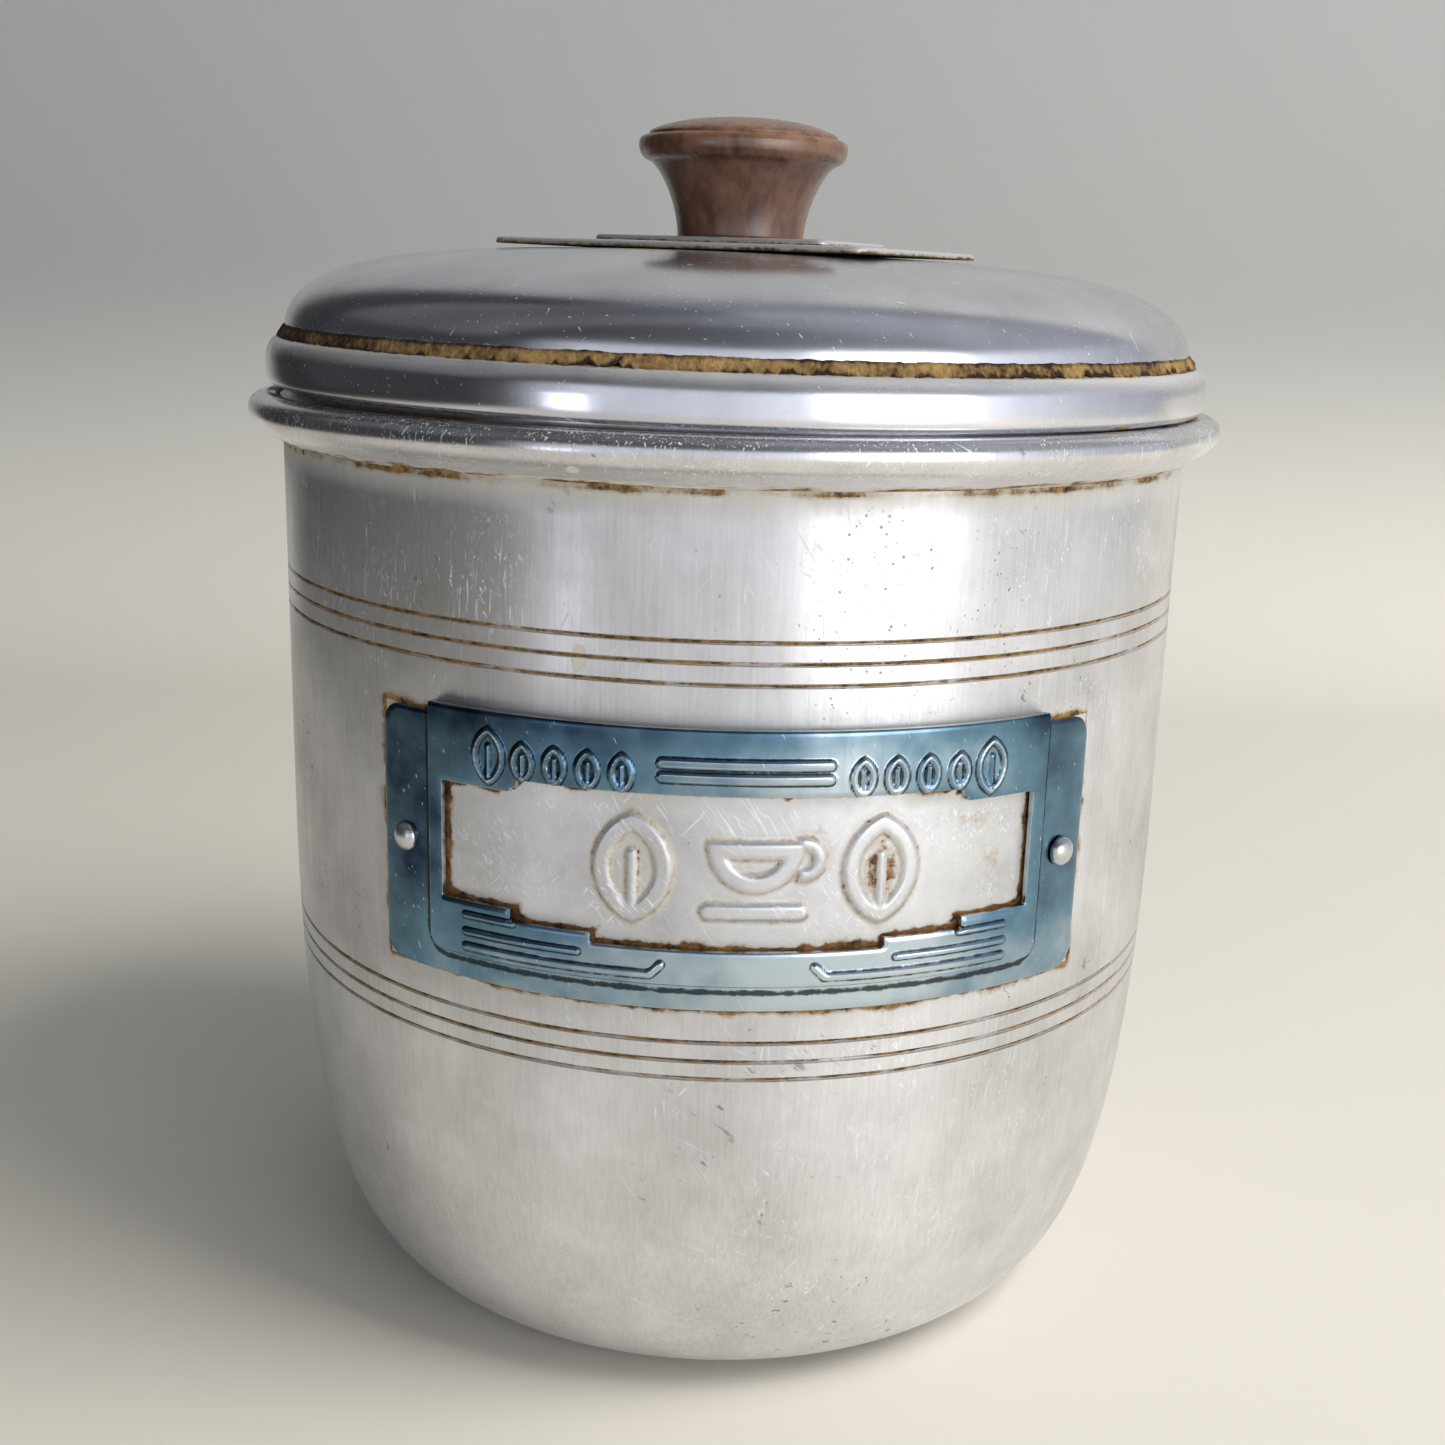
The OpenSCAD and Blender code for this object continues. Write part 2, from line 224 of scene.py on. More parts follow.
    stain = addNode(tree, "MapRange", over, -0.26, 0.0, 0.0, 0.62)
    film = addNode(tree, "Math.MULTIPLY", addNode(tree, "Attribute",
                                                  {"attribute_name": "haze"}).outputs["Fac"],
                   addNode(tree, "MapRange", cloud, 0.3, 0.62, 0.35, 1.0))
    for (bearing, reach, height), wide, tall in look["flecks"]:
        # a drip of old paint, torn at its border
        a = math.radians(bearing)
        spot = (reach * math.sin(a) * mm, -reach * math.cos(a) * mm, height * mm)
        off = addNode(tree, "VectorMath.SUBTRACT", place, spot)
        off = addNode(tree, "VectorMath.MULTIPLY", off, (1 / wide / mm, 0.5 / wide / mm,
                1 / tall / mm))
        far = addNode(tree, "VectorMath.LENGTH", off).outputs["Value"]
        fleck = addNode(tree, "MapRange", addNode(tree, "Math.MULTIPLY_ADD", addNode(tree,
                "TexNoise", place, 420, 5, 0.7), 1.4, far), 1.5, 1.35)
        film = addNode(tree, "Math.MAXIMUM", fleck, film)
    shade = addNode(tree, "ValToRGB", addNode(tree, "TexNoise", place, 700, 4, 0.7))
    for stop, (where, tint) in zip(shade.color_ramp.elements, look["soil"]):
        stop.position = where
        stop.color = toLinear(tint)
    colour = addNode(tree, "Mix.RGBA", film, colour, toLinear("#d3cdbf"))
    colour = addNode(tree, "Mix.RGBA", stain, colour, toLinear("#a58a5e"))
    colour = addNode(tree, "Mix.RGBA", cover, colour, shade)
    dull = addNode(tree, "Math.MAXIMUM", cover, addNode(tree, "Math.MAXIMUM", film, stain))
    dull = addNode(tree, "Math.MAXIMUM", dull, addNode(tree, "Math.MULTIPLY", marks, 0.55))
    gloss = addNode(tree, "Math.MULTIPLY_ADD", dull, 0.4, gloss)

    # slow unevenness of the sheet, then rub marks, grain, pits and the crust's own height
    normal = addNode(tree, "Bump", {"Distance": look["wave"][1], "Height": addNode(tree, "TexNoise",
            place, look["wave"][0], 1.5, 0.5)})
    for height, depth in ((rub, look["rubDepth"]), (grain, look["grainDepth"]), (addNode(tree,
            "Math.MULTIPLY", pit, -1), 0.00003), (addNode(tree, "Math.MULTIPLY", cover, crumb),
                                                  0.00008)):
        normal = addNode(tree, "Bump", {"Distance": depth, "Height": height, "Normal": normal})
    shader = addNode(tree, "BsdfPrincipled", {"Base Color": colour, "Metallic": addNode(tree,
            "Math.SUBTRACT", 1.0, dull), "Roughness": gloss, "Normal": normal})
    if look["spun"]:
        # turning lines run round the pot, so highlights are drawn out up and down
        shader.inputs["Anisotropic"].default_value = look["spun"]
        shader.inputs["Anisotropic Rotation"].default_value = 0.25
        lines = addNode(tree, "Tangent", {"direction_type": "RADIAL", "axis": "Z"})
        tree.links.new(lines.outputs[0], shader.inputs["Tangent"])
    addNode(tree, "OutputMaterial", shader)
    return material


potLook = {
    "bright": "#f2f2f5", "dull": "#d3d2d2",   # clean metal, oxide
    "gloss": (0.28, 0.38), "rubGloss": 0.08,
    "spun": 0.7, "scuff": 0.6,
    "frame": (*(size * mm for size in holder["flange"]), math.radians(holder["turn"]),
              holder["radius"] * mm),
    "rub": (2600, 2600, 80),                  # marks 0.4 mm wide and 12 mm long, upright
    "rubDepth": 0.000006, "grainDepth": 0.000008,
    "wave": (16, 0.0005),
    "pits": 0.62, "crumb": 420,
    "soil": ((0.36, "#352411"), (0.62, "#a5824e")),
    "flecks": [((-15.3, 57.6, 90.4), 1.0, 1.9), ((-15.2, 59.6, 109.9), 1.1, 0.6)],
    # lean in degrees, fineness across and along, cut, seed
    "scratches": [(0, 4200, 260, 0.75, 3), (32, 3800, 55, 0.75, 9), (-38, 4200, 70, 0.75, 17),
                  (62, 3600, 80, 0.76, 29), (-8, 5200, 130, 0.74, 41)],
}
lidLook = dict(potLook, bright="#ececf1", dull="#d2d2d8", gloss=(0.12, 0.22), rubGloss=0.05,
               spun=0.35, frame=None, scuff=0, flecks=[], rub=(90, 90, 90), wave=(26, 0.0006), pits=0.68,
               rubDepth=0.000002, grainDepth=0.000004, crumb=700,
               scratches=[(32, 3800, 55, 0.80, 9), (-38, 4200, 260, 0.82, 17),
                          (75, 3600, 300, 0.82, 29)],
               soil=((0.32, "#3a2813"), (0.7, "#a98d5c")))
labelLook = dict(potLook, bright="#e4e6ea", dull="#c4c4c5", gloss=(0.26, 0.42), pits=0.60,
                 rub=(220, 220, 140), rubDepth=0.000003,
                 scratches=[(38, 3600, 150, 0.72, 9), (-42, 3600, 140, 0.73, 17),
                            (30, 5200, 90, 0.71, 41), (58, 5000, 120, 0.73, 23)],
                 spun=0, frame=None, scuff=0, flecks=[], wave=(40, 0.0002), crumb=900,
                 soil=((0.36, "#1d140c"), (0.64, "#94683c")))
potMetal = dullMetal("spun aluminium rubbed satin", potLook)
lidMetal = dullMetal("spun aluminium polished", lidLook)
labelMetal = dullMetal("pressed aluminium bare", labelLook)


def blueLacquer():
    # Thin blue lacquer on pressed aluminium. The eye gets a coloured metal gloss, navy where
    # the coat is thick, paler where it has faded, paler again in a painted highlight down the
    # middle and darker in painted shade at the left end, with bare bright metal on rubbed edges
    # and painted shade with grime, near black, in the creases.
    material, tree = newMaterial("aluminium under blue lacquer")
    place = addNode(tree, "TexCoord").outputs["Object"]
    wear = addNode(tree, "Attribute", {"attribute_name": "wear"}).outputs["Fac"]
    # faded lacquer, with a painted highlight down the middle and painted shade at the left end
    fade = addNode(tree, "Attribute", {"attribute_name": "fade"}).outputs["Fac"]
    rubMap = addNode(tree, "Mapping", place, {"Scale": (1800, 1800, 60)})
    rub = addNode(tree, "TexNoise", rubMap, 1, 4, 0.6)
    cloud = addNode(tree, "TexNoise", place, 90, 6, 0.6)
    crease = addNode(tree, "Attribute", {"attribute_name": "crease"}).outputs["Fac"]
    tone = addNode(tree, "Math.MULTIPLY_ADD", cloud, 0.6, fade)
    tint = addNode(tree, "ValToRGB", tone)
    ramp = tint.color_ramp
    ramp.elements[0].position = 0.2
    ramp.elements[0].color = toLinear("#0d2c44")
    ramp.elements[1].position = 1.15 / 1.2
    ramp.elements[1].color = toLinear("#c9d9e4")
    middle = ramp.elements.new(0.55)
    middle.color = toLinear("#688ca3")
    rubbed = addNode(tree, "Math.MULTIPLY_ADD", cloud, 0.5, wear)
    rubbed = addNode(tree, "MapRange", rubbed, 0.85, 1.15)
    fineMap = addNode(tree, "Mapping", place, {"Rotation": (0, 0.5, 0)})
    fineMap = addNode(tree, "Mapping", fineMap, {"Scale": (4200, 4200, 240)})
    fine = addNode(tree, "TexNoise", fineMap, 1, 0.0)
    fine = addNode(tree, "MapRange", fine, 0.80, 0.88)
    rubbed = addNode(tree, "Math.MAXIMUM", rubbed, fine)
    colour = addNode(tree, "Mix.RGBA", rubbed, tint, toLinear("#e4e6e6"))
    crumb = addNode(tree, "TexNoise", place, 800, 5, 0.7)
    # painted shade with grime: near black at the foot of the raised lines and of the fold
    soilAndShade = addNode(tree, "Math.SUBTRACT", crease, crumb)
    soilAndShade = addNode(tree, "MapRange", soilAndShade, -0.12, 0.1, {"To Max": 0.9})
    colour = addNode(tree, "Mix.RGBA", soilAndShade, colour, toLinear("#1a2226"))
    rough = addNode(tree, "MapRange", rub, 0.3, 0.7, 0.16, 0.26)
    bump = addNode(tree, "Bump", {"Strength": 1.0, "Distance": 0.000006, "Height": rub})
    shader = addNode(tree, "BsdfPrincipled", {"Metallic": 1.0, "Coat Weight": 0.25,
                                              "Coat Roughness": 0.2, "Base Color": colour,
                                              "Roughness": rough, "Normal": bump})
    addNode(tree, "OutputMaterial", shader)
    return material


def mouldedPhenolic():
    # Brown phenolic moulded from mottled powder. The eye gets a hard even gloss over soft
    # clouds of darker and redder brown.
    material, tree = newMaterial("phenolic moulded brown")
    place = addNode(tree, "TexCoord").outputs["Object"]
    streakMap = addNode(tree, "Mapping", place, {"Scale": (420, 420, 160)})
    cloud = addNode(tree, "TexNoise", streakMap, 1, 5, 0.6, {"Distortion": 0.3})
    brown = addNode(tree, "ValToRGB", cloud)
    brown.color_ramp.elements[0].position = 0.25
    brown.color_ramp.elements[0].color = toLinear("#43291a")
    brown.color_ramp.elements[1].position = 0.72
    brown.color_ramp.elements[1].color = toLinear("#8c644b")
    fine = addNode(tree, "TexNoise", place, 1600, 3)
    rough = addNode(tree, "MapRange", cloud, 0.3, 0.7, 0.2, 0.34)
    bump = addNode(tree, "Bump", {"Strength": 1.0, "Distance": 0.00001, "Height": fine})
    shader = addNode(tree, "BsdfPrincipled", {"IOR": 1.62, "Specular IOR Level": 0.7,
                                              "Base Color": brown, "Roughness": rough,
                                              "Normal": bump})
    addNode(tree, "OutputMaterial", shader)
    return material


def packedGrime():
    # Old polish and kitchen dust packed into the groove. The eye gets a matt golden brown
    # crust with fine fibres lying across it, and painted shade darkening its borders and left side.
    material, tree = newMaterial("grime packed")
    place = addNode(tree, "TexCoord").outputs["Object"]
    fibreMap = addNode(tree, "Mapping", place, {"Scale": (1500, 1500, 700)})
    fibre = addNode(tree, "TexNoise", fibreMap, 1, 6, 0.75)
    patch = addNode(tree, "TexNoise", place, 160, 3)
    tone = addNode(tree, "Math.MULTIPLY_ADD", patch, 0.7, fibre)
    # painted shade: darker along the crust's borders and on its left side
    border = addNode(tree, "Attribute", {"attribute_name": "border"}).outputs["Fac"]
    tone = addNode(tree, "Math.MULTIPLY_ADD", border, -0.34, tone)
    tone = addNode(tree, "Math.SUBTRACT", tone, 0.32)
    soil = addNode(tree, "ValToRGB", tone)
    soil.color_ramp.elements[0].position = 0.3
    soil.color_ramp.elements[0].color = toLinear("#2a1a0c")
    soil.color_ramp.elements[1].position = 0.72
    soil.color_ramp.elements[1].color = toLinear("#a18352")
    bump = addNode(tree, "Bump", {"Strength": 1.0, "Distance": 0.00015, "Height": fibre})
    shader = addNode(tree, "BsdfPrincipled", {"Roughness": 0.9, "Base Color": soil, "Normal": bump})
    addNode(tree, "OutputMaterial", shader)
    return material


def turnedMetal(name, bright, dull, rough):
    # Small turned hardware. The eye gets a plain metal gloss with faint tool rings.
    material, tree = newMaterial(name)
    place = addNode(tree, "TexCoord").outputs["Object"]
    ringMap = addNode(tree, "Mapping", place, {"Scale": (200, 200, 4000)})
    ring = addNode(tree, "TexNoise", ringMap, 1, 3)
    colour = addNode(tree, "Mix.RGBA", ring, toLinear(bright), toLinear(dull))
    bump = addNode(tree, "Bump", {"Strength": 1.0, "Distance": 0.00001, "Height": ring})
    roughness = addNode(tree, "MapRange", ring, {"To Min": rough - 0.06, "To Max": rough + 0.08})
    shader = addNode(tree, "BsdfPrincipled", {"Metallic": 1.0, "Base Color": colour,
                                              "Roughness": roughness, "Normal": bump})
    addNode(tree, "OutputMaterial", shader)
    return material


blueMetal = blueLacquer()
phenolic = mouldedPhenolic()
grime = packedGrime()
rivetMetal = turnedMetal("aluminium rivet", "#e8e8ea", "#b8b8ba", 0.28)
brass = turnedMetal("brass turned", "#d9b46a", "#a9843e", 0.3)
steel = turnedMetal("steel plated", "#c9c9c9", "#8f8f8f", 0.35)
print("materials made")


# turned pieces: one tree spins an outline round the upright axis

def turnedTree():
    tree = bpy.data.node_groups.new("turned piece", "GeometryNodeTree")
    face = tree.interface
    face.new_socket("Geometry", in_out="INPUT", socket_type="NodeSocketGeometry")
    face.new_socket("Steps Round", in_out="INPUT", socket_type="NodeSocketInt")
    face.new_socket("Material", in_out="INPUT", socket_type="NodeSocketMaterial")
    face.new_socket("Geometry", in_out="OUTPUT", socket_type="NodeSocketGeometry")
    given = addNode(tree, "NodeGroupInput").outputs
    outline = addNode(tree, "GeometryNodeAttributeDomainSize", {"component": "MESH",
            "Geometry": given["Geometry"]}).outputs["Point Count"]
    across = addNode(tree, "Math.ADD", given["Steps Round"], 1)
    grid = addNode(tree, "GeometryNodeMeshGrid", {"Size X": 1, "Size Y": 1, "Vertices X": across,
                                                  "Vertices Y": outline}).outputs["Mesh"]
    spot = addNode(tree, "SeparateXYZ", addNode(tree,
                                                "GeometryNodeInputPosition").outputs[0]).outputs
    turn = addNode(tree, "Math.MULTIPLY_ADD", spot["X"], 2 * math.pi, math.pi)
    last = addNode(tree, "Math.SUBTRACT", outline, 1)
    along = addNode(tree, "Math.ADD", spot["Y"], 0.5)
    row = addNode(tree, "Math.MULTIPLY", along, last)
    row = addNode(tree, "Math.ROUND", row)
    point = addNode(tree, "GeometryNodeSampleIndex", {"data_type": "FLOAT_VECTOR",
            "domain": "POINT", "Geometry": given["Geometry"], "Value": addNode(tree,
            "GeometryNodeInputPosition").outputs[0], "Index": row})
    part = addNode(tree, "SeparateXYZ", point).outputs
    sides = [addNode(tree, "Math.MULTIPLY", part["X"], addNode(tree, "Math", turn,
            {"operation": kind})) for kind in ("COSINE", "SINE")]
    spun = addNode(tree, "CombineXYZ", sides[0], sides[1], part["Z"])
    moved = addNode(tree, "GeometryNodeSetPosition", {"Geometry": grid, "Position": spun})
    closed = addNode(tree, "GeometryNodeMergeByDistance", {"Distance": 0.000002, "Geometry": moved})
    real = addNode(tree, "GeometryNodeRealizeInstances", {"Geometry": closed})
    painted = addNode(tree, "GeometryNodeSetMaterial", {"Geometry": real,
            "Material": given["Material"]})
    addNode(tree, "NodeGroupOutput", {"Geometry": painted})
    return tree


def runTree(piece, tree, inputs):
    # sets the tree's inputs by their sockets, then keeps the result as a plain mesh
    modifier = piece.modifiers.new(tree.name, "NODES")
    modifier.node_group = tree
    for item in tree.interface.items_tree:
        if item.item_type == "SOCKET" and item.in_out == "INPUT" and item.name in inputs:
            modifier[item.identifier] = inputs[item.name]
    ready = piece.evaluated_get(bpy.context.evaluated_depsgraph_get())
    mesh = bpy.data.meshes.new_from_object(ready)
    mesh.name = piece.name
    piece.modifiers.clear()
    old = piece.data
    piece.data = mesh
    bpy.data.meshes.remove(old)
    return piece


spinTree = turnedTree()


def turned(name, outline, steps, material):
    # outline: (radius, height) in mm, going up on the outside
    piece = meshPiece(name, [(r * mm, 0, z * mm) for r, z in outline], [])
    return runTree(piece, spinTree, {"Steps Round": steps, "Material": material})


# the pot

pot = {
    "recess": 0.8, "footIn": wallRadius - 27, "footOut": wallRadius - 23,
    "curveTop": 63,                           # where the wall starts to turn in
    "rings": (44.56, 46.65, 48.88, 88.38, 90.64, 92.86),
    "ringDepth": 0.34, "ringHalf": 0.27,
    "steps": 240,
}


def wallAt(z):
    if z >= pot["curveTop"]:
        return wallRadius
    t = 1 - (z / pot["curveTop"]) ** (1 / 3)
    return (wallRadius * ((1 - t) ** 3 + 3 * t * (1 - t) ** 2)
            + 3 * t * t * (1 - t) * (wallRadius - 10.6) + t ** 3 * pot["footOut"])


def ringDip(z):
    near = min(abs(z - ring) for ring in pot["rings"])
    return pot["ringDepth"] * max(0, 1 - (near / pot["ringHalf"]) ** 2) ** 0.5


def potOutline():
    w, h = wallRadius, rimTop
    heights = {pot["curveTop"] * (1 - i / 40) ** 3 for i in range(41)}
    heights |= {pot["curveTop"] + i * 2.4 for i in range(16)}
    heights |= {rimTop - 13 + i * 0.7 for i in range(11)}
    heights = [z for z in heights if min(abs(z - r) for r in pot["rings"]) > 0.4]
    for ring in pot["rings"]:
        heights += [ring + d for d in (-0.36, -0.27, -0.23, -0.14, 0, 0.14, 0.23, 0.27, 0.36)]
    wall = [(wallAt(z) - ringDip(z), z) for z in sorted(heights)]
    return ([(0, pot["recess"]), (pot["footIn"], pot["recess"]), (pot["footIn"] + 0.25, 0.7),
             (pot["footIn"] + 0.85, 0.1), (pot["footIn"] + 1.1, 0)] + wall
            + curvePoints([(w, h - 2.3), (w, h - 1.3), (w + 0.7, h - 0.8), (w + 1.6, h - 0.8)], 6)
            + curvePoints([(w + 1.7, h - 0.8), (w + 2.7, h - 0.8), (w + 3.3, h - 1.2),
                           (w + 3.3, h - 1.9)], 6)
            + curvePoints([(w + 3.3, h - 2), (w + 3.3, h - 2.7), (w + 2, h - 3.6),
                           (w + 0.45, h - 4.5)], 8)
            + curvePoints([(w + 0.3, h - 5.5), (w + 2.4, h - 4.4), (w + 4.08, h - 3.2),
                           (w + 4.08, h - 1.9)], 18)
            + curvePoints([(w + 4.08, h - 1.8), (w + 4.08, h - 0.7), (w + 3.2, h),
                           (w + 1.7, h)], 14)
            + curvePoints([(w + 1.5, h), (w + 0.2, h), (w - sheet, h - 0.8),
                           (w - sheet, h - 2.2)], 12)
            + curvePoints([(w - sheet, pot["curveTop"]), (w - sheet, sheet + 0.4), (w - 11, sheet),
                           (pot["footOut"], sheet)], 28)
            + [(pot["footIn"] + 1.5, sheet), (pot["footIn"] + 0.4, pot["recess"] + sheet),
               (0, pot["recess"] + sheet)])


def boxDistance(x, y, cx, cy, hx, hy, r=0.0):
    # distance to a round-cornered box, negative inside
    qx, qy = np.abs(x - cx) - hx + r, np.abs(y - cy) - hy + r
    return np.hypot(np.maximum(qx, 0), np.maximum(qy, 0)) + np.minimum(np.maximum(qx, qy), 0) - r


def noiseAt(points, scale, seed):
    # soft noise at each point of an array, about -1 to 1
    return np.array([noise.fractal(Vector((p[0] * scale + seed, p[1] * scale, p[2] * scale)),
                                   0.6, 2.1, 4) for p in points])


potPiece = turned("pot", potOutline(), pot["steps"], potMetal)
co = vertexArray(potPiece.data) / mm
radius = np.hypot(co[:, 0], co[:, 1])
bearing = np.arctan2(co[:, 0], -co[:, 1])
across = (bearing - math.radians(holder["turn"])) * holder["radius"]
outside = radius > np.array([wallAt(min(z, 110)) for z in co[:, 2]]) - 0.6
ringNear = np.min([np.abs(co[:, 2] - ring) for ring in pot["rings"]], axis=0)
ring = np.column_stack([np.sin(bearing), -np.cos(bearing), co[:, 2] * 0.4])
uneven = noiseAt(ring, 7, 4.0)
leftward = 0.14 * np.clip(-np.sin(bearing), 0, 1)
dirt = np.clip(1.15 - ringNear / 0.3, 0, 1) * outside * (co[:, 2] < 100)
dirt *= np.clip(0.72 + 0.5 * uneven + leftward, 0.45, 1)
underRim = np.clip(1.2 - np.abs(co[:, 2] - (rimTop - 5.6)) / 1.0, 0, 1) * (radius < wallRadius + 1.4)
dirt = np.maximum(dirt, np.clip(0.5 + 0.7 * uneven + leftward, 0.2, 0.8) * underRim)
# the seam under the lid: partly grime, partly painted shade, darkest on the left
seam = (radius < wallRadius + 1.9) & (co[:, 2] > rimTop - 0.5) & (radius > wallRadius + 0.2)
dirt = np.maximum(dirt, np.clip(0.3 + 0.5 * uneven + 3 * leftward, 0, 0.8) * seam)
f = holder["flange"]
rimHaze = np.clip(1 - (rimTop - 5.5 - co[:, 2]) / 3.4, 0, 1) * (co[:, 2] < rimTop - 5)
polish = np.clip((co[:, 2] - rimTop + 5) / 1.5, 0, 1) * (radius > wallRadius + 0.5)
addPointValue(potPiece, "polish", polish)
aroundHolder = boxDistance(across, co[:, 2], 0, (f[1] + f[2]) / 2, f[0], (f[2] - f[1]) / 2, 3)
framed = 0.8 * np.clip(1 - aroundHolder / 2.6, 0, 1) * (co[:, 1] < 0) * (aroundHolder > -2)
haze = np.maximum(rimHaze, framed) * outside
addPointValue(potPiece, "dirt", dirt)
addPointValue(potPiece, "haze", haze)
patches = [(12, 97, 15, 12, 1.0), (28, 99, 12, 8, 0.7), (-30, 92, 9, 12, 0.5), (16, 22, 16, 9, 0.45),
           (48, 30, 10, 16, 0.6)]
pitted = sum(weight * np.exp(-((np.degrees(bearing) - a) / wide) ** 2 - ((co[:, 2] - z) / tall) ** 2)
             for a, z, wide, tall, weight in patches)
addPointValue(potPiece, "pitted", pitted)
settle(potPiece, "canister", ["canister_body"])
print("pot made: %d faces" % len(potPiece.data.polygons))


# the label holder and its plate: fine sheets, bent round the wall

def bars(*items):
    # each bar: x0, z0, x1, z1, half width
    def distance(x, z):
        result = np.full(x.shape, 99.0)
        for x0, z0, x1, z1, half in items:
            dx, dz = x1 - x0, z1 - z0
            t = np.clip(((x - x0) * dx + (z - z0) * dz) / (dx * dx + dz * dz + 1e-9), 0, 1)
            result = np.minimum(result, np.hypot(x - x0 - t * dx, z - z0 - t * dz) - half)
        return result
    return distance


def leafShape(x, z, cx, cz, w, h):
    # two crossing discs: negative inside the leaf
    r = (w * w + h * h) / (2 * w)
    return np.maximum(np.hypot(np.abs(x - cx) + (r - w), z - cz) - r, -99)


def windowDistance(x, z):
    boxes = [boxDistance(x, z, 0, 69.02, 33.45, 6.58, 0.3), boxDistance(x, z, 0, 68.6, 24.76, 7.5, 0.3),
             boxDistance(x, z, 0, 68, 15.65, 8.0, 0.3), boxDistance(x, z, 0, 72.5, 24.0, 4.5, 0.3)]
    return np.minimum.reduce(boxes)


def bentSheet(name, across, up, keep, edge, height, thick, material):
    # a grid over (across, up) with the unwanted cells left out; border points slide on to the
    # edge line, height gives the outer radius, and a second skin behind closes it
    x, z = np.meshgrid(across, up, indexing="ij")
    cx = (x[:-1, :-1] + x[1:, 1:]) / 2
    cz = (z[:-1, :-1] + z[1:, 1:]) / 2
    inside = keep(cx, cz)
    number = np.arange(x.size).reshape(x.shape)
    quads = np.stack([number[:-1, :-1], number[1:, :-1], number[1:, 1:], number[:-1, 1:]], -1)
    quads = quads[inside]
    used = np.unique(quads)
    renumber = np.full(x.size, -1)
    renumber[used] = np.arange(len(used))
    quads = renumber[quads]
    px, pz = x.ravel()[used].copy(), z.ravel()[used].copy()
    sides = np.concatenate([quads[:, [i, (i + 1) % 4]] for i in range(4)])
    key = np.sort(sides, axis=1)
    unique, inverse, counts = np.unique(key, axis=0, return_inverse=True, return_counts=True)
    border = sides[counts[inverse.ravel()] == 1]
    rim = np.unique(border)
    for step in range(3):                     # slide border points on to the drawn edge
        e = 0.02
        d = edge(px[rim], pz[rim])
        gx = (edge(px[rim] + e, pz[rim]) - edge(px[rim] - e, pz[rim])) / (2 * e)
        gz = (edge(px[rim], pz[rim] + e) - edge(px[rim], pz[rim] - e)) / (2 * e)
        size = np.maximum(gx * gx + gz * gz, 0.3)
        move = np.clip(d / size, -0.3, 0.3)
        px[rim] -= move * gx
        pz[rim] -= move * gz
    r = height(px, pz)
    turn = px / holder["radius"] + math.radians(holder["turn"])
    front = np.column_stack([r * np.sin(turn), -r * np.cos(turn), pz])
    back = np.column_stack([(r - thick) * np.sin(turn), -(r - thick) * np.cos(turn), pz])
    count = len(front)
    verts = np.vstack([front, back]) * mm
    faces = ([tuple(q) for q in quads.tolist()]
             + [tuple(count + i for i in reversed(q)) for q in quads.tolist()]
             + [(b, a, a + count, b + count) for a, b in border.tolist()])
    piece = meshPiece(name, verts.tolist(), faces, material)
    return piece, np.tile(px, 2), np.tile(pz, 2)


def steps(*stops):
    # grid lines: pairs of (position, spacing from there on), the last one closes the row
    line = []
    for (a, gap), (b, unused) in zip(stops, stops[1:]):
        line += list(np.linspace(a, b, max(1, round((b - a) / gap)), endpoint=False))
    return np.array(line + [stops[-1][0]])


holderBars = []
for side in (-1, 1):
    holderBars += [(side * 24.4, 60.9, side * 30.2, 60.9, 0.3),
                   (side * 17, 59.0, side * 30.2, 59.0, 0.32),
                   (side * 9.2, 57.25, side * 30.2, 57.25, 0.36),
                   (side * 8.1, 58.35, side * 9.2, 57.25, 0.36)]
centreBars = [(-8.2, z, 8.8, z, 0.5) for z in (78.95, 80.45)]
ornament = {"big": (27.2, 79.2, 1.9, 3.1), "small": (1.3, 2.2), "first": 23.2, "gap": 3.6, "count": 4,
            "line": 0.28}


def ornamentDistance(x, z):
    result = np.full(x.shape, 99.0)
    for side in (-1, 1):
        cx, cz, w, h = ornament["big"]
        leaves = [(side * cx, cz, w, h)] + [(side * (ornament["first"] - ornament["gap"] * i), 79.0)
                                            + ornament["small"] for i in range(ornament["count"])]
        for leaf in leaves:
            d = leafShape(x, z, *leaf)
            result = np.minimum(result, np.abs(d + ornament["line"]) - ornament["line"])
            vein = bars((leaf[0], leaf[1] - leaf[3] * 0.85, leaf[0], leaf[1] + leaf[3] * 0.35, 0.2))
            result = np.minimum(result, vein(x, z))
    return result


def holderEdge(x, z):
    f, p = holder["flange"], holder["pocket"]
    flange = boxDistance(x, z, 0, (f[1] + f[2]) / 2, f[0], (f[2] - f[1]) / 2, 2.6)
    pocket = boxDistance(x, z, 0, (p[1] + p[2]) / 2, p[0], (p[2] - p[1]) / 2, 0.9)
    return np.maximum(np.minimum(flange, pocket), -windowDistance(x, z))


def swell(d, soft):
    # 1 inside a raised line, falling softly to 0 just outside it
    t = np.clip(0.5 - d / soft, 0, 1)
    return t * t * (3 - 2 * t)


def holderHeight(x, z):
    p = holder["pocket"]
    inPocket = boxDistance(x, z, 0, (p[1] + 120) / 2, p[0], (120 - p[1]) / 2, 2.2)
    step = swell(inPocket + holder["foldWidth"] / 2, holder["foldWidth"])
    r = holder["flangeOut"] + (holder["pocketOut"] - holder["flangeOut"]) * step
    relief = np.maximum(swell(bars(*holderBars)(x, z), 0.3), swell(bars(*centreBars)(x, z), 0.34))
    relief = np.maximum(relief, swell(ornamentDistance(x, z), 0.3))
    roll = np.clip(1 - (-holderEdge(x, z)) / 0.45, 0, 1) ** 2          # edges roll in a little
    return r + 0.32 * relief - 0.16 * roll


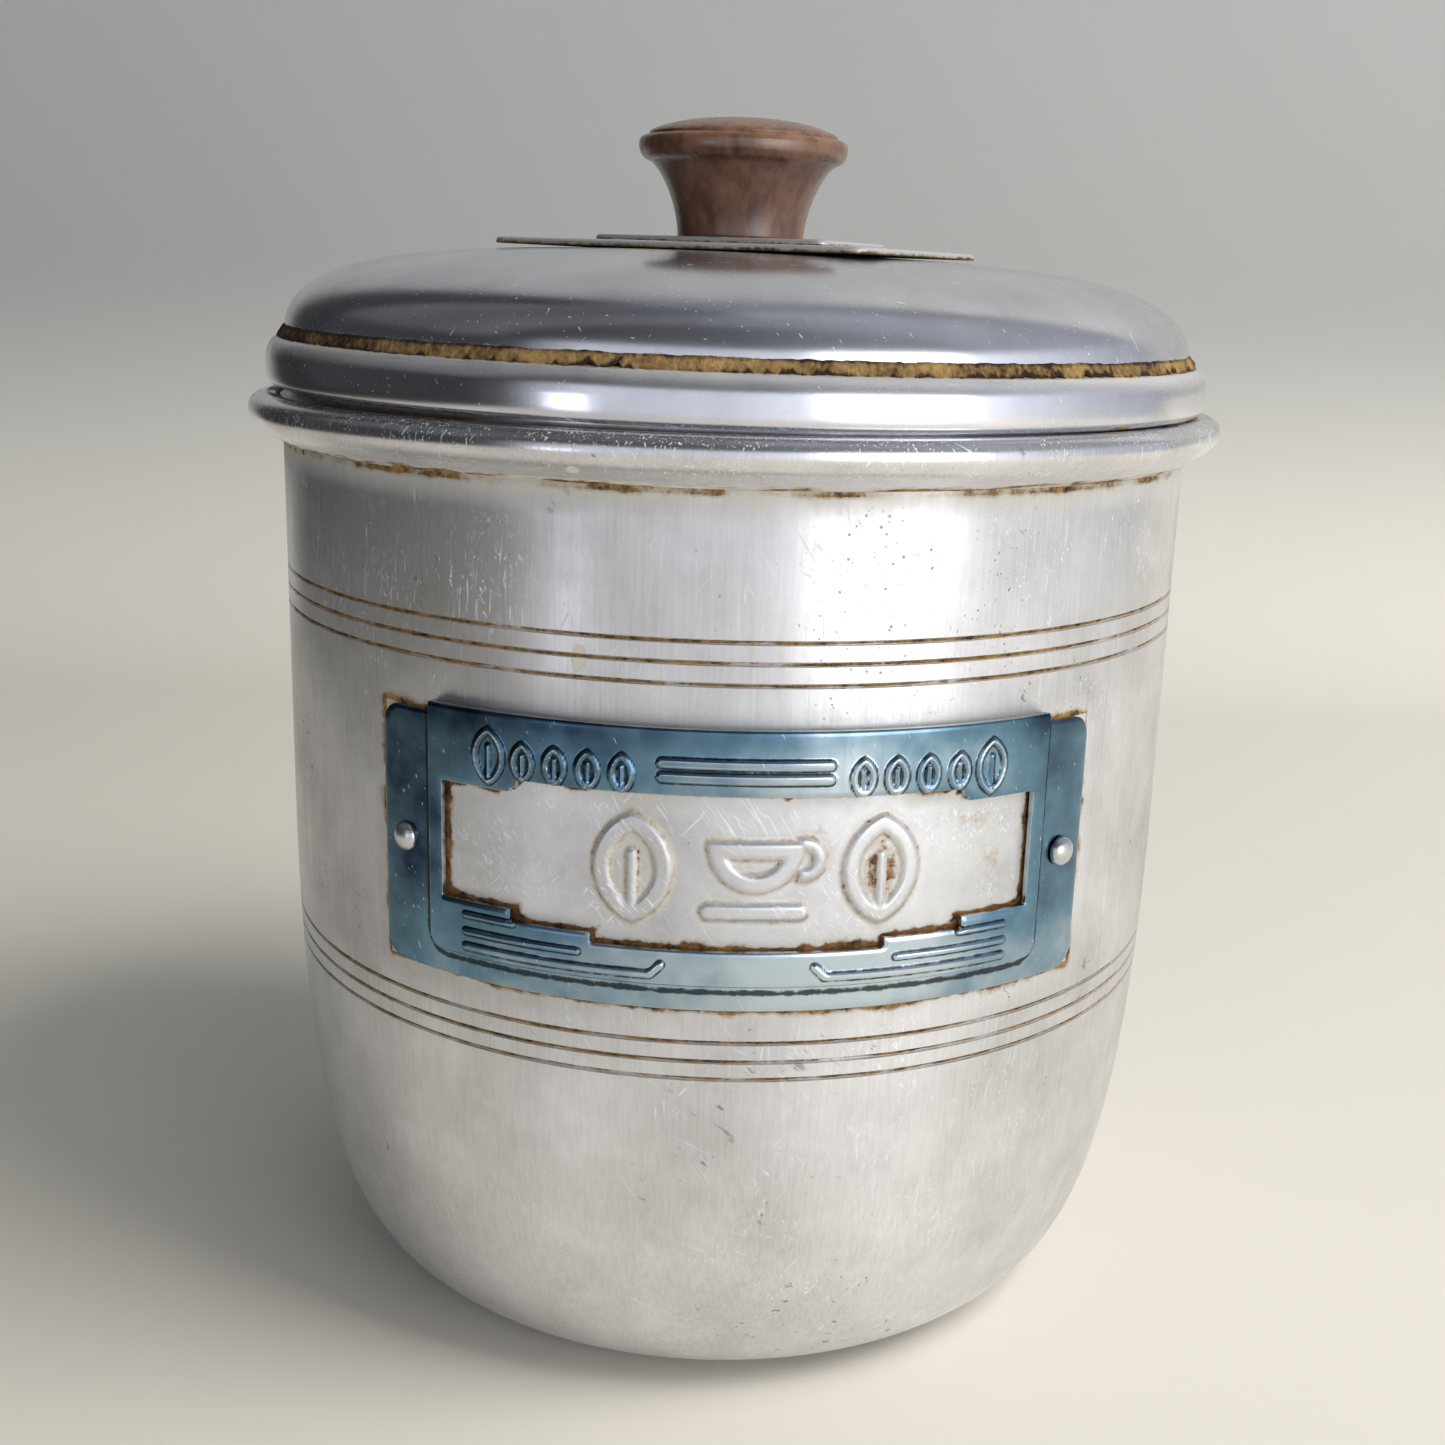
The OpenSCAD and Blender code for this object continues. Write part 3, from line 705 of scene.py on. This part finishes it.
holderAcross = steps((-43.4, 0.5), (-37.5, 0.22), (37.5, 0.5), (43.4, 1))
holderUp = steps((52.9, 0.35), (55.3, 0.17), (61.7, 0.4), (75.2, 0.2), (76.2, 0.16), (84.05, 1))
holderPiece, hx, hz = bentSheet("labelHolder", holderAcross, holderUp,
                                lambda x, z: holderEdge(x, z) < 0, holderEdge, holderHeight,
                                holder["thick"], blueMetal)
edgeNear = np.abs(holderEdge(hx, hz))
relief = np.minimum.reduce([bars(*holderBars)(hx, hz), bars(*centreBars)(hx, hz),
                            ornamentDistance(hx, hz)])
foldSigned = boxDistance(hx, hz, 0, (holder["pocket"][1] + 120) / 2, holder["pocket"][0],
                         (120 - holder["pocket"][1]) / 2, 2.2)
# tone of the lacquer: the paler band right of the middle is a painted highlight and the darker left end
# is painted shade; it also grows paler towards the bottom, darker along the top, and wanders at random
fade = (0.15 + 0.36 * np.exp(-((hx - 9) / 16) ** 2) + 0.2 * np.clip((66 - hz) / 8, 0, 1)
        - 0.16 * np.clip((-26 - hx) / 12, 0, 1) - 0.14 * np.clip((hz - 80.5) / 2.5, 0, 1)
        + 0.12 * noiseAt(np.column_stack([hx, hz, hx * 0]), 0.09, 7.7))
wear = np.maximum.reduce([np.clip(1 - edgeNear / 0.4, 0, 1) * 0.75,
                          np.clip(1.0 - np.abs(relief + 0.22) / 0.3, 0, 1) * 0.8,
                          0.72 * np.clip(1 - np.abs(foldSigned + 0.72) / 0.4, 0, 1)])
# where painted shade and grime go: at the foot of the raised lines and just outside the fold
crease = np.maximum(np.clip(1 - np.abs(relief - 0.16) / 0.26, 0, 1),
                    np.clip(1.1 - np.abs(foldSigned - 0.5) / 0.6, 0, 1))
addPointValue(holderPiece, "crease", 0.85 * crease)
addPointValue(holderPiece, "wear", wear)
addPointValue(holderPiece, "fade", fade)
settle(holderPiece, "canister", ["label_holder"], 50)
print("label holder made: %d faces" % len(holderPiece.data.polygons))

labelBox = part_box("label_plate")
labelPlate = {"bottom": labelBox[0][2] / mm, "top": labelBox[1][2] / mm, "half": 34.2,
              "out": 57.65, "thick": 0.4, "raise": 0.4}


def figureDistance(x, z):
    # two leaves and a cup, as raised lines
    result = np.full(x.shape, 99.0)
    for cx in (-11.4, 15.2):
        d = leafShape(x, z, cx, 68.6, 4.2, 6.0)
        result = np.minimum(result, np.abs(d + 0.85) - 0.85)
        result = np.minimum(result, bars((cx, 63.4, cx, 70.2, 0.5))(x, z))
    bowl = np.maximum(np.hypot(x - 1.6, z - 71.4) - 5.0, z - 71.9)
    result = np.minimum(result, np.abs(bowl + 0.9) - 0.9)
    handle = np.maximum(np.abs(np.hypot(x - 6.7, z - 70.0) - 1.7) - 0.65, 6.2 - x)
    result = np.minimum(result, handle)
    result = np.minimum(result, bars((-3.2, 64.2, 6.4, 64.2, 0.85))(x, z))
    return result


def labelHeight(x, z):
    d = figureDistance(x, z)
    return labelPlate["out"] + labelPlate["raise"] * swell(d, 0.8) - 0.05 * swell(np.abs(d - 0.55), 0.8)


def labelEdge(x, z):
    return boxDistance(x, z, 0, (labelPlate["bottom"] + labelPlate["top"]) / 2, labelPlate["half"],
                       (labelPlate["top"] - labelPlate["bottom"]) / 2, 0.4)


labelAcross = steps((-34.2, 0.6), (-17, 0.21), (20.5, 0.6), (34.2, 1))
labelUp = steps((labelPlate["bottom"], 0.6), (62.2, 0.21), (75.2, 0.6), (labelPlate["top"], 1))
labelPiece, lx, lz = bentSheet("labelPlate", labelAcross, labelUp,
                               lambda x, z: labelEdge(x, z) < 0, labelEdge, labelHeight,
                               labelPlate["thick"], labelMetal)
figure = figureDistance(lx, lz)
frameNear = -windowDistance(lx, lz)
soft = noiseAt(np.column_stack([lx, lz, lx * 0]), 0.16, 3.1)
corner = (np.clip((-lx - 20) / 12, 0, 1) * 0.9 + np.clip((65 - lz) / 4, 0, 1) * 0.7
          + np.clip((lx - 26) / 8, 0, 1) * 0.35)
reach = 0.16 + 0.5 * np.clip(corner + soft * 1.3, 0, 2)
dirt = np.clip(0.9 - 0.5 * frameNear / reach, 0, 1)
dirt = np.where(frameNear < -0.9, 0.34, dirt)         # cleaner where the holder covers it
dirt = np.maximum(dirt, 0.43 * np.clip(1 - np.abs(figure - 0.2) / 0.6, 0, 1))
inner = np.clip(1.5 - np.hypot((lx - 15.2) / 2.4, (lz - 68.4) / 3.6), 0, 1) * (figure > 0.05)
dirt = np.maximum(dirt, 0.52 * inner)
stain = 0.34 * np.exp(-((lx - 25) / 5) ** 2 - ((lz - 73.5) / 1.8) ** 2)
stain = stain + 0.32 * np.exp(-((lx - 29) / 2.5) ** 2 - ((lz - 68) / 5) ** 2)
stain = stain + 0.30 * np.exp(-((lx - 8.5) / 1.6) ** 2 - ((lz - 73.2) / 1.2) ** 2)
dirt = np.maximum(dirt, stain * (1 + 0.5 * soft))
haze = 0.9 * np.clip(1 - np.abs(figure - 0.35) / 0.6, 0, 1) + 0.8 * np.clip(1 - frameNear / 2.0, 0, 1)
haze = haze + 1.2 * np.clip(soft - 0.05, 0, 1) * np.clip((lx - 8) / 8, 0, 1)
addPointValue(labelPiece, "dirt", dirt)
addPointValue(labelPiece, "haze", np.clip(haze, 0, 1))
settle(labelPiece, "label", ["label_plate"], 50)
print("label plate made: %d faces" % len(labelPiece.data.polygons))


# rivets: one tree sets a head, shank and tail on each point

rivets = [{"turn": -37.3, "z": 67.7, "head": 1.65, "rise": 1.1, "proud": 0.0},
          {"turn": 41.1, "z": 67.4, "head": 1.7, "rise": 1.2, "proud": 0.2}]


def rivetTree():
    tree = bpy.data.node_groups.new("rivets", "GeometryNodeTree")
    face = tree.interface
    face.new_socket("Geometry", in_out="INPUT", socket_type="NodeSocketGeometry")
    for label in ("Seat Radius", "Inner Radius", "Shank Radius", "Tail Radius"):
        face.new_socket(label, in_out="INPUT", socket_type="NodeSocketFloat")
    face.new_socket("Material", in_out="INPUT", socket_type="NodeSocketMaterial")
    face.new_socket("Geometry", in_out="OUTPUT", socket_type="NodeSocketGeometry")
    given = addNode(tree, "NodeGroupInput").outputs
    # a dome of radius 1, flat underneath, standing on z = 0
    ball = addNode(tree, "GeometryNodeMeshUVSphere", {"Segments": 40, "Rings": 24, "Radius": 1.0})
    spot = addNode(tree, "SeparateXYZ", addNode(tree,
                                                "GeometryNodeInputPosition").outputs[0]).outputs
    flatten = addNode(tree, "Math.MAXIMUM", spot["Z"], -0.12)
    lifted = addNode(tree, "Math.MULTIPLY_ADD", flatten, 0.893, 0.107)
    place = addNode(tree, "CombineXYZ", spot["X"], spot["Y"], lifted)
    dome = addNode(tree, "GeometryNodeSetPosition", {"Geometry": ball.outputs["Mesh"],
            "Position": place})
    outward = addNode(tree, "GeometryNodeInputNamedAttribute", {"data_type": "FLOAT_VECTOR",
            "Name": "outward"}).outputs["Attribute"]
    size = addNode(tree, "GeometryNodeInputNamedAttribute", {"data_type": "FLOAT_VECTOR",
            "Name": "size"}).outputs["Attribute"]
    aim = addNode(tree, "FunctionNodeAlignRotationToVector", {"axis": "Z",
            "Vector": outward}).outputs[0]
    heads = addNode(tree, "GeometryNodeInstanceOnPoints", {"Points": given["Geometry"],
            "Instance": dome, "Rotation": aim, "Scale": size})
    parts = [heads.outputs[0]]
    length = addNode(tree, "Math.SUBTRACT", given["Seat Radius"], given["Inner Radius"])
    for radiusName, stretch, sink in (("Shank Radius", 1.15, -0.5), ("Tail Radius", 0.5, -1.28)):
        depth = addNode(tree, "Math.MULTIPLY", length, stretch)
        peg = addNode(tree, "GeometryNodeMeshCylinder", {"Vertices": 32,
                "Radius": given[radiusName], "Depth": depth})
        down = addNode(tree, "Math.MULTIPLY", length, sink)
        shift = addNode(tree, "CombineXYZ", {2: down})
        sunk = addNode(tree, "GeometryNodeTransform", {"Geometry": peg.outputs["Mesh"],
                "Translation": shift})
        pegs = addNode(tree, "GeometryNodeInstanceOnPoints", {"Points": given["Geometry"],
                "Instance": sunk, "Rotation": aim})
        parts.append(pegs.outputs[0])
    joined = addNode(tree, "GeometryNodeJoinGeometry")
    for part in parts:
        tree.links.new(part, joined.inputs[0])
    real = addNode(tree, "GeometryNodeRealizeInstances", {"Geometry": joined})
    painted = addNode(tree, "GeometryNodeSetMaterial", {"Geometry": real,
            "Material": given["Material"]})
    addNode(tree, "NodeGroupOutput", {"Geometry": painted})
    return tree


seat = holder["flangeOut"]
spots, ways, sizes = [], [], []
for rivet in rivets:
    a = math.radians(rivet["turn"])
    way = Vector((math.sin(a), -math.cos(a), 0))
    spots.append((way * (seat + rivet["proud"]) + Vector((0, 0, rivet["z"]))) * mm)
    ways.append(way)
    sizes.append(Vector((rivet["head"], rivet["head"], rivet["rise"])) * mm)
rivetPiece = meshPiece("rivets", spots, [])
for label, values in (("outward", ways), ("size", sizes)):
    layer = rivetPiece.data.attributes.new(label, "FLOAT_VECTOR", "POINT")
    layer.data.foreach_set("vector", np.array(values, dtype=np.float32).ravel())
runTree(rivetPiece, rivetTree(), {"Seat Radius": seat * mm, "Inner Radius": (wallRadius - sheet) * mm,
        "Shank Radius": 0.8 * mm, "Tail Radius": 1.4 * mm, "Material": rivetMetal})
settle(rivetPiece, "canister", ["rivet_left", "rivet_right"])
print("rivets made")


# the lid, sitting a little cocked on the rim

lid = {"crown": rimTop + 17.5, "plugGap": 0.3, "plugLength": 10.5, "tilt": 0.64, "touch": 45.0,
       "steps": 240}
touchWay = Vector((math.sin(math.radians(lid["touch"])), -math.cos(math.radians(lid["touch"])), 0))
touchPoint = (touchWay * (wallRadius + 1.6) + Vector((0, 0, rimTop))) * mm
hinge = Vector((math.cos(math.radians(lid["touch"])), math.sin(math.radians(lid["touch"])), 0))
seated = (Matrix.Translation(touchPoint) @ Matrix.Rotation(math.radians(lid["tilt"]), 4, hinge)
          @ Matrix.Translation(-touchPoint))


def lidOutline():
    w, h, c = wallRadius, rimTop, lid["crown"]
    plug = w - sheet - lid["plugGap"]
    low = h - lid["plugLength"]
    return (curvePoints([(w + 1.8, h + 2.9), (w + 1.8, h + 1.6), (w + 1.8, h + 0.6),
                         (w + 1.35, h + 0.25)], 12)[::-1]
            + curvePoints([(w + 0.2, h + 5.72), (w + 1.3, h + 5.4), (w + 1.8, h + 4.2),
                           (w + 1.8, h + 3)], 14)[::-1]
            + [(w - 0.1, h + 5.8), (w - 2.1, h + 6), (w - 2.1, h + 6.55), (w - 1, h + 6.62),
               (w - 0.65, h + 6.8)]
            + curvePoints([(0, c), (0.628 * w, c), (w - 1.4, c - 1), (w - 0.5, h + 7)], 44)[::-1]
            + curvePoints([(w - 1.35, h + 7.7), (w - 2.2, c - 1.8), (0.62 * w, c - 0.8),
                           (0, c - 0.8)], 30)[::-1]
            + [(w - 1.4, h + 7.45), (w - 2.9, h + 7.35), (w - 2.9, h + 5.25)]
            + curvePoints([(w + 1, h + 2.4), (w + 1, h + 3.8), (w + 0.6, h + 4.75),
                           (w - 0.2, h + 5)], 6)[::-1]
            + [(w + 0.9, h + 1.7), (w + 0.5, h + 1.1), (plug - 0.8, h + 1.05), (plug - 0.8, low + 0.8),
               (plug - 1.7, low + 0.7), (plug - 1.7, low)]
            + [(plug - 0.8 + 0.8 * math.sin(a), low + 0.8 - 0.8 * math.cos(a))
               for a in (0, 0.4, 0.8, 1.2, 1.57)]
            + [(plug, h + 0.25), (w + 1.35, h + 0.25)])


lidPiece = turned("lid", lidOutline(), lid["steps"], lidMetal)
co = vertexArray(lidPiece.data) / mm
radius = np.hypot(co[:, 0], co[:, 1])
shown = radius > wallRadius - 3
dirt = np.clip(1.2 - np.abs(co[:, 2] - rimTop - 6.3) / 0.8, 0, 1) * shown
haze = np.clip(1 - np.abs(co[:, 2] - rimTop - 5.5) / 1.6, 0, 1) * shown * 0.5
addPointValue(lidPiece, "dirt", dirt)
addPointValue(lidPiece, "haze", haze)
lidPiece.data.transform(seated)
settle(lidPiece, "lid", ["lid_shell"])
print("lid made: %d faces" % len(lidPiece.data.polygons))

# crust in the groove of the lid, its lower border ragged
groove = {"steps": 720, "seed": 11.0}
w, h = wallRadius, rimTop
crustOutline = [(w - 1.6, h + 6.1), (w - 0.3, h + 5.6), (w + 0.34, h + 5.45), (w + 0.42, h + 5.68),
                (w + 0.36, h + 5.9), (w + 0.2, h + 6.15), (w + 0.02, h + 6.42), (w - 0.14, h + 6.7),
                (w - 0.28, h + 6.95), (w - 0.44, h + 7.12), (w - 0.75, h + 6.95), (w - 1.6, h + 6.45),
                (w - 1.6, h + 6.1)]
crustPiece = turned("grooveCrust", crustOutline, groove["steps"], grime)
co = vertexArray(crustPiece.data)
turn = np.arctan2(co[:, 0], -co[:, 1])
ring = np.column_stack([np.cos(turn), np.sin(turn), turn * 0])
rough = noiseAt(ring, 7, groove["seed"]) * 0.6 + noiseAt(ring, 46, groove["seed"] + 5) * 0.7
upperRough = noiseAt(ring, 12, groove["seed"] + 9) * 0.5 + noiseAt(ring, 60, groove["seed"] + 2) * 0.5
grain = noiseAt(co / mm, 1.3, 2.0)
out = np.hypot(co[:, 0], co[:, 1]) / mm
proud = np.clip((out - (w - 0.9)) / 1.2, 0, 1)
lower = np.clip((h + 6.7 - co[:, 2] / mm) / 1.0, 0, 1)
thick = (0.05 + 0.35 * rough * lower + 0.12 * grain) * proud
lowest = h + 5.6 - 1.15 * (rough + 0.12)
co[:, 2] += (-1.15 * (rough + 0.12) * lower + 0.5 * (upperRough - 0.2) * (1 - lower)) * proud * mm
co[:, :2] *= (1 + thick * mm / np.hypot(co[:, 0], co[:, 1]))[:, None]
crustPiece.data.vertices.foreach_set("co", co.ravel())
# painted shade: the crust is darker along its lower and upper borders and on its left side
leftward = np.clip(-np.sin(turn) - 0.35, 0, 1)
border = (np.clip(1.2 - (co[:, 2] / mm - lowest) / 0.45, 0, 1)
          + 0.7 * np.clip((co[:, 2] / mm - h - 6.75) / 0.3, 0, 1))
addPointValue(crustPiece, "border", border + 0.9 * leftward)
crustPiece.data.transform(seated)
settle(crustPiece, "lid", sharp=60)

# two thin oblong plates under the knob
plates = [{"name": "lowerPlate", "node": "plate_lower", "half": (25.5, 19.0), "corner": 2.6},
          {"name": "upperPlate", "node": "plate_upper", "half": (16.25, 9.75), "corner": 1.8}]
plateTurn = -27.0
plateThick = 0.8
cornerPoints = 9                              # points round each corner


def roundedPlate(name, half, corner, bottom):
    # stacked outlines, each a little smaller, give the pressed sheet its soft upper edge
    layers = [(0.15, 0), (0, 0.12), (0, 0.42), (0.05, 0.56), (0.17, 0.7), (0.36, 0.78), (0.6, 0.8),
              (1.2, 0.8)]
    verts, faces = [], []
    for inset, z in layers:
        a, b, c = half[0] - inset, half[1] - inset, max(corner - inset, 0.3)
        for cx, cy, start in ((a - c, b - c, 0), (c - a, b - c, 90), (c - a, c - b, 180),
                              (a - c, c - b, 270)):
            for i in range(cornerPoints):
                t = math.radians(start + 90 * i / (cornerPoints - 1))
                verts.append(((cx + c * math.cos(t)) * mm, (cy + c * math.sin(t)) * mm,
                              (bottom + z) * mm))
    n = 4 * cornerPoints
    for k in range(len(layers) - 1):
        for i in range(n):
            j = (i + 1) % n
            faces.append((k * n + i, k * n + j, (k + 1) * n + j, (k + 1) * n + i))
    faces.append(tuple(range(n - 1, -1, -1)))
    faces.append(tuple(range((len(layers) - 1) * n, len(layers) * n)))
    piece = meshPiece(name, verts, faces, lidMetal)
    piece.data.transform(seated @ Matrix.Rotation(math.radians(plateTurn), 4, "Z"))
    edge = np.repeat([0.0, 0.8, 1.0, 1.0, 0.9, 0.6, 0.2, 0.0], n)
    addPointValue(piece, "haze", edge * 0.4)
    addPointValue(piece, "dirt", np.repeat([0.9, 0.62, 0.3, 0.0, 0.0, 0.0, 0.0, 0.0], n))
    return piece


for level, plate in enumerate(plates):
    platePiece = roundedPlate(plate["name"], plate["half"], plate["corner"],
                              lid["crown"] + level * plateThick)
    settle(platePiece, "lid", [plate["node"]])

# the knob
knob = {"radius": 13.1, "height": 14.49, "foot": lid["crown"] + 2 * plateThick, "bore": 3.52,
        "boreDepth": 9.0, "steps": 160}


def knobOutline():
    k, z, t = knob["radius"], knob["foot"], knob["height"]
    return ([(0, z + knob["boreDepth"]), (knob["bore"], z + knob["boreDepth"]), (knob["bore"], z)]
            + [(k - 5.25, z), (k - 5.12, z + 0.15)]
            + curvePoints([(k - 5.1, z + 0.3), (k - 5, z + 3.2), (k - 3.5, z + 7.3),
                           (k - 1.6, z + t - 5.5)], 20)
            + curvePoints([(k - 1.2, z + t - 5.35), (k - 0.5, z + t - 5.2), (k, z + t - 4.4),
                           (k, z + t - 3.5)], 9)
            + curvePoints([(k, z + t - 3.3), (k, z + t - 2.8), (k - 0.4, z + t - 2.45),
                           (k - 1, z + t - 2.4)], 7)
            + [(k - 1.2, z + t - 2.35), (k - 1.25, z + t - 2.05)]
            + curvePoints([(k - 1.5, z + t - 1.8), (k - 4, z + t - 0.6), (k - 8, z + t),
                           (0, z + t)], 20))


knobPiece = turned("knob", knobOutline(), knob["steps"], phenolic)
knobPiece.data.transform(seated)
settle(knobPiece, "lid", ["knob"])
for node, metal in (("knob_insert", brass), ("knob_screw", steel), ("knob_washer", steel)):
    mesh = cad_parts[node].data
    mesh.materials.clear()
    mesh.materials.append(metal)
print("plates, knob and hardware made")


# floor, backdrop, lights and camera

stage = {"left": -0.9, "right": 0.8, "front": -0.42, "back": 0.42, "bend": 0.12, "top": 2.2,
         "shade": (-0.28, -0.46)}             # where a painted shadow darkens the paper towards the left


def sweepSheet():
    # a paper sweep: flat under the pot, bending up behind it
    line = [(stage["front"], 0), (stage["back"] - stage["bend"], 0)]
    line += [(stage["back"] - stage["bend"] * (1 - math.sin(a)), stage["bend"] * (1 - math.cos(a)))
             for a in (math.pi / 2 * i / 16 for i in range(1, 17))]
    line.append((stage["back"], stage["top"]))
    verts = [(x, y, z) for y, z in line for x in (stage["left"], stage["right"])]
    faces = [(2 * i, 2 * i + 1, 2 * i + 3, 2 * i + 2) for i in range(len(line) - 1)]
    paper, tree = newMaterial("floor paper")
    place = addNode(tree, "SeparateXYZ", addNode(tree, "TexCoord").outputs["Object"]).outputs
    high = addNode(tree, "MapRange", place["Z"], 0.0, 0.14, {"interpolation_type": "SMOOTHSTEP"})
    tint = addNode(tree, "Mix.RGBA", high, toLinear("#e2ddd3"), toLinear("#a9aaa8"))
    # painted shadow: the paper is darkened towards the left
    far = addNode(tree, "MapRange", place["X"], stage["shade"][0], stage["shade"][1],
                  {"interpolation_type": "SMOOTHSTEP"})
    tint = addNode(tree, "Mix.RGBA", far, tint, toLinear("#3c3c3c"))
    shader = addNode(tree, "BsdfPrincipled", {"Roughness": 0.7, "Base Color": tint})
    addNode(tree, "OutputMaterial", shader)
    sheetPiece = meshPiece("floor", verts, faces, paper)
    sheetPiece.data.shade_smooth()
    return sheetPiece


sweepSheet()


def softLight(name, bearing, distance, height, aim, size, glow, colour, inGloss=True):
    # bearing is counted from the front towards the right; glow is the brightness of its face
    data = bpy.data.lights.new(name, "AREA")
    data.shape = "RECTANGLE"
    data.size, data.size_y = size
    data.energy = glow * math.pi * size[0] * size[1]
    data.color = toLinear(colour)[:3]
    light = bpy.data.objects.new(name, data)
    a = math.radians(bearing)
    light.location = (distance * math.sin(a), -distance * math.cos(a), height)
    light.rotation_euler = (Vector(aim) - light.location).to_track_quat("-Z", "Y").to_euler()
    light.visible_glossy = inGloss
    bpy.context.scene.collection.objects.link(light)


softLight("window", 36, 0.8, 0.17, (0, 0, 0.08), (0.5, 0.5), 1.9, "#ffffff")
softLight("strip", -37, 0.62, -0.04, (0, 0, 0.06), (0.10, 0.24), 2.2, "#e8ecff")
softLight("ceiling", 68, 0.75, 0.9, (0, 0, 0), (0.6, 0.6), 10.0, "#fffdf8", inGloss=False)
softLight("pool", 20, 0.26, 0.5, (0.085, -0.22, 0), (0.16, 0.16), 1.6, "#fff4e4", inGloss=False)

world = bpy.data.worlds.new("studio")
bpy.context.scene.world = world
world.use_nodes = True
room = world.node_tree
room.nodes.clear()
way = addNode(room, "SeparateXYZ", addNode(room, "TexCoord").outputs["Generated"]).outputs
front = addNode(room, "Math.MULTIPLY", way["Y"], -1.0)
around = addNode(room, "Math.ARCTAN2", way["X"], front)
turnPart = addNode(room, "MapRange", around, -math.pi, math.pi)

# brightness of the room by bearing from the front: level with the pot, above the camera, and
# overhead behind the pot
roomGlow = {
    "level": [(-180, 0.3), (180, 0.3), (-130, 0.06), (-65, 0.04), (-53, 0.08), (-45, 0.46),
              (-33, 0.74), (-20, 0.72), (0, 0.82), (15, 1.05), (60, 1.1), (90, 0.7), (134, 0.35)],
    "above": [(-180, 0.12), (180, 0.12), (-60, 0.04), (0, 0.12), (40, 0.25), (100, 0.3)],
    "overhead": [(-180, 0.24), (180, 0.24), (-90, 0.10), (0, 0.24), (90, 0.42)],
}
roomTint = (0.94, 0.985, 1.08)                # a little cool
glows = {}
for height, stops in roomGlow.items():
    glows[height] = addNode(room, "ValToRGB", turnPart)
    line = glows[height].color_ramp
    for i, (bearing, glow) in enumerate(stops):
        part = (bearing + 180) / 360
        stop = line.elements[i] if i < 2 else line.elements.new(part)
        stop.position = part
        stop.color = (*(glow * tint for tint in roomTint), 1)
rise = addNode(room, "MapRange", way["Z"], 0.26, 0.46, {"interpolation_type": "SMOOTHSTEP"})
back = addNode(room, "MapRange", way["Y"], -0.52, -0.32, {"interpolation_type": "SMOOTHSTEP"})
above = addNode(room, "Mix.RGBA", back, glows["above"], glows["overhead"])
glow = addNode(room, "Mix.RGBA", rise, glows["level"], above)
sky = addNode(room, "Background", glow, {"Strength": 1.0})
addNode(room, "OutputWorld", sky)

camera = {"place": (0, -0.22764, 0.128), "lens": 42.9, "pitch": 0.2496, "yaw": -0.0015,
          "roll": 0.0285}
view = bpy.data.cameras.new("camera")
view.sensor_width = 36
view.lens = camera["lens"]
view.clip_start = 0.01
eye = bpy.data.objects.new("camera", view)
bpy.context.scene.collection.objects.link(eye)
ahead = Vector((math.sin(camera["yaw"]) * math.cos(camera["pitch"]),
                math.cos(camera["yaw"]) * math.cos(camera["pitch"]), -math.sin(camera["pitch"])))
side = ahead.cross(Vector((0, 0, 1))).normalized()
top = side.cross(ahead)
roll = camera["roll"]
eyeX = math.cos(roll) * side + math.sin(roll) * top
eyeY = -math.sin(roll) * side + math.cos(roll) * top
eye.matrix_world = Matrix.Translation(camera["place"]) @ Matrix(
    (eyeX, eyeY, -ahead)).transposed().to_4x4()
bpy.context.scene.camera = eye
bpy.context.scene.view_settings.view_transform = "Standard"
print("stage set")
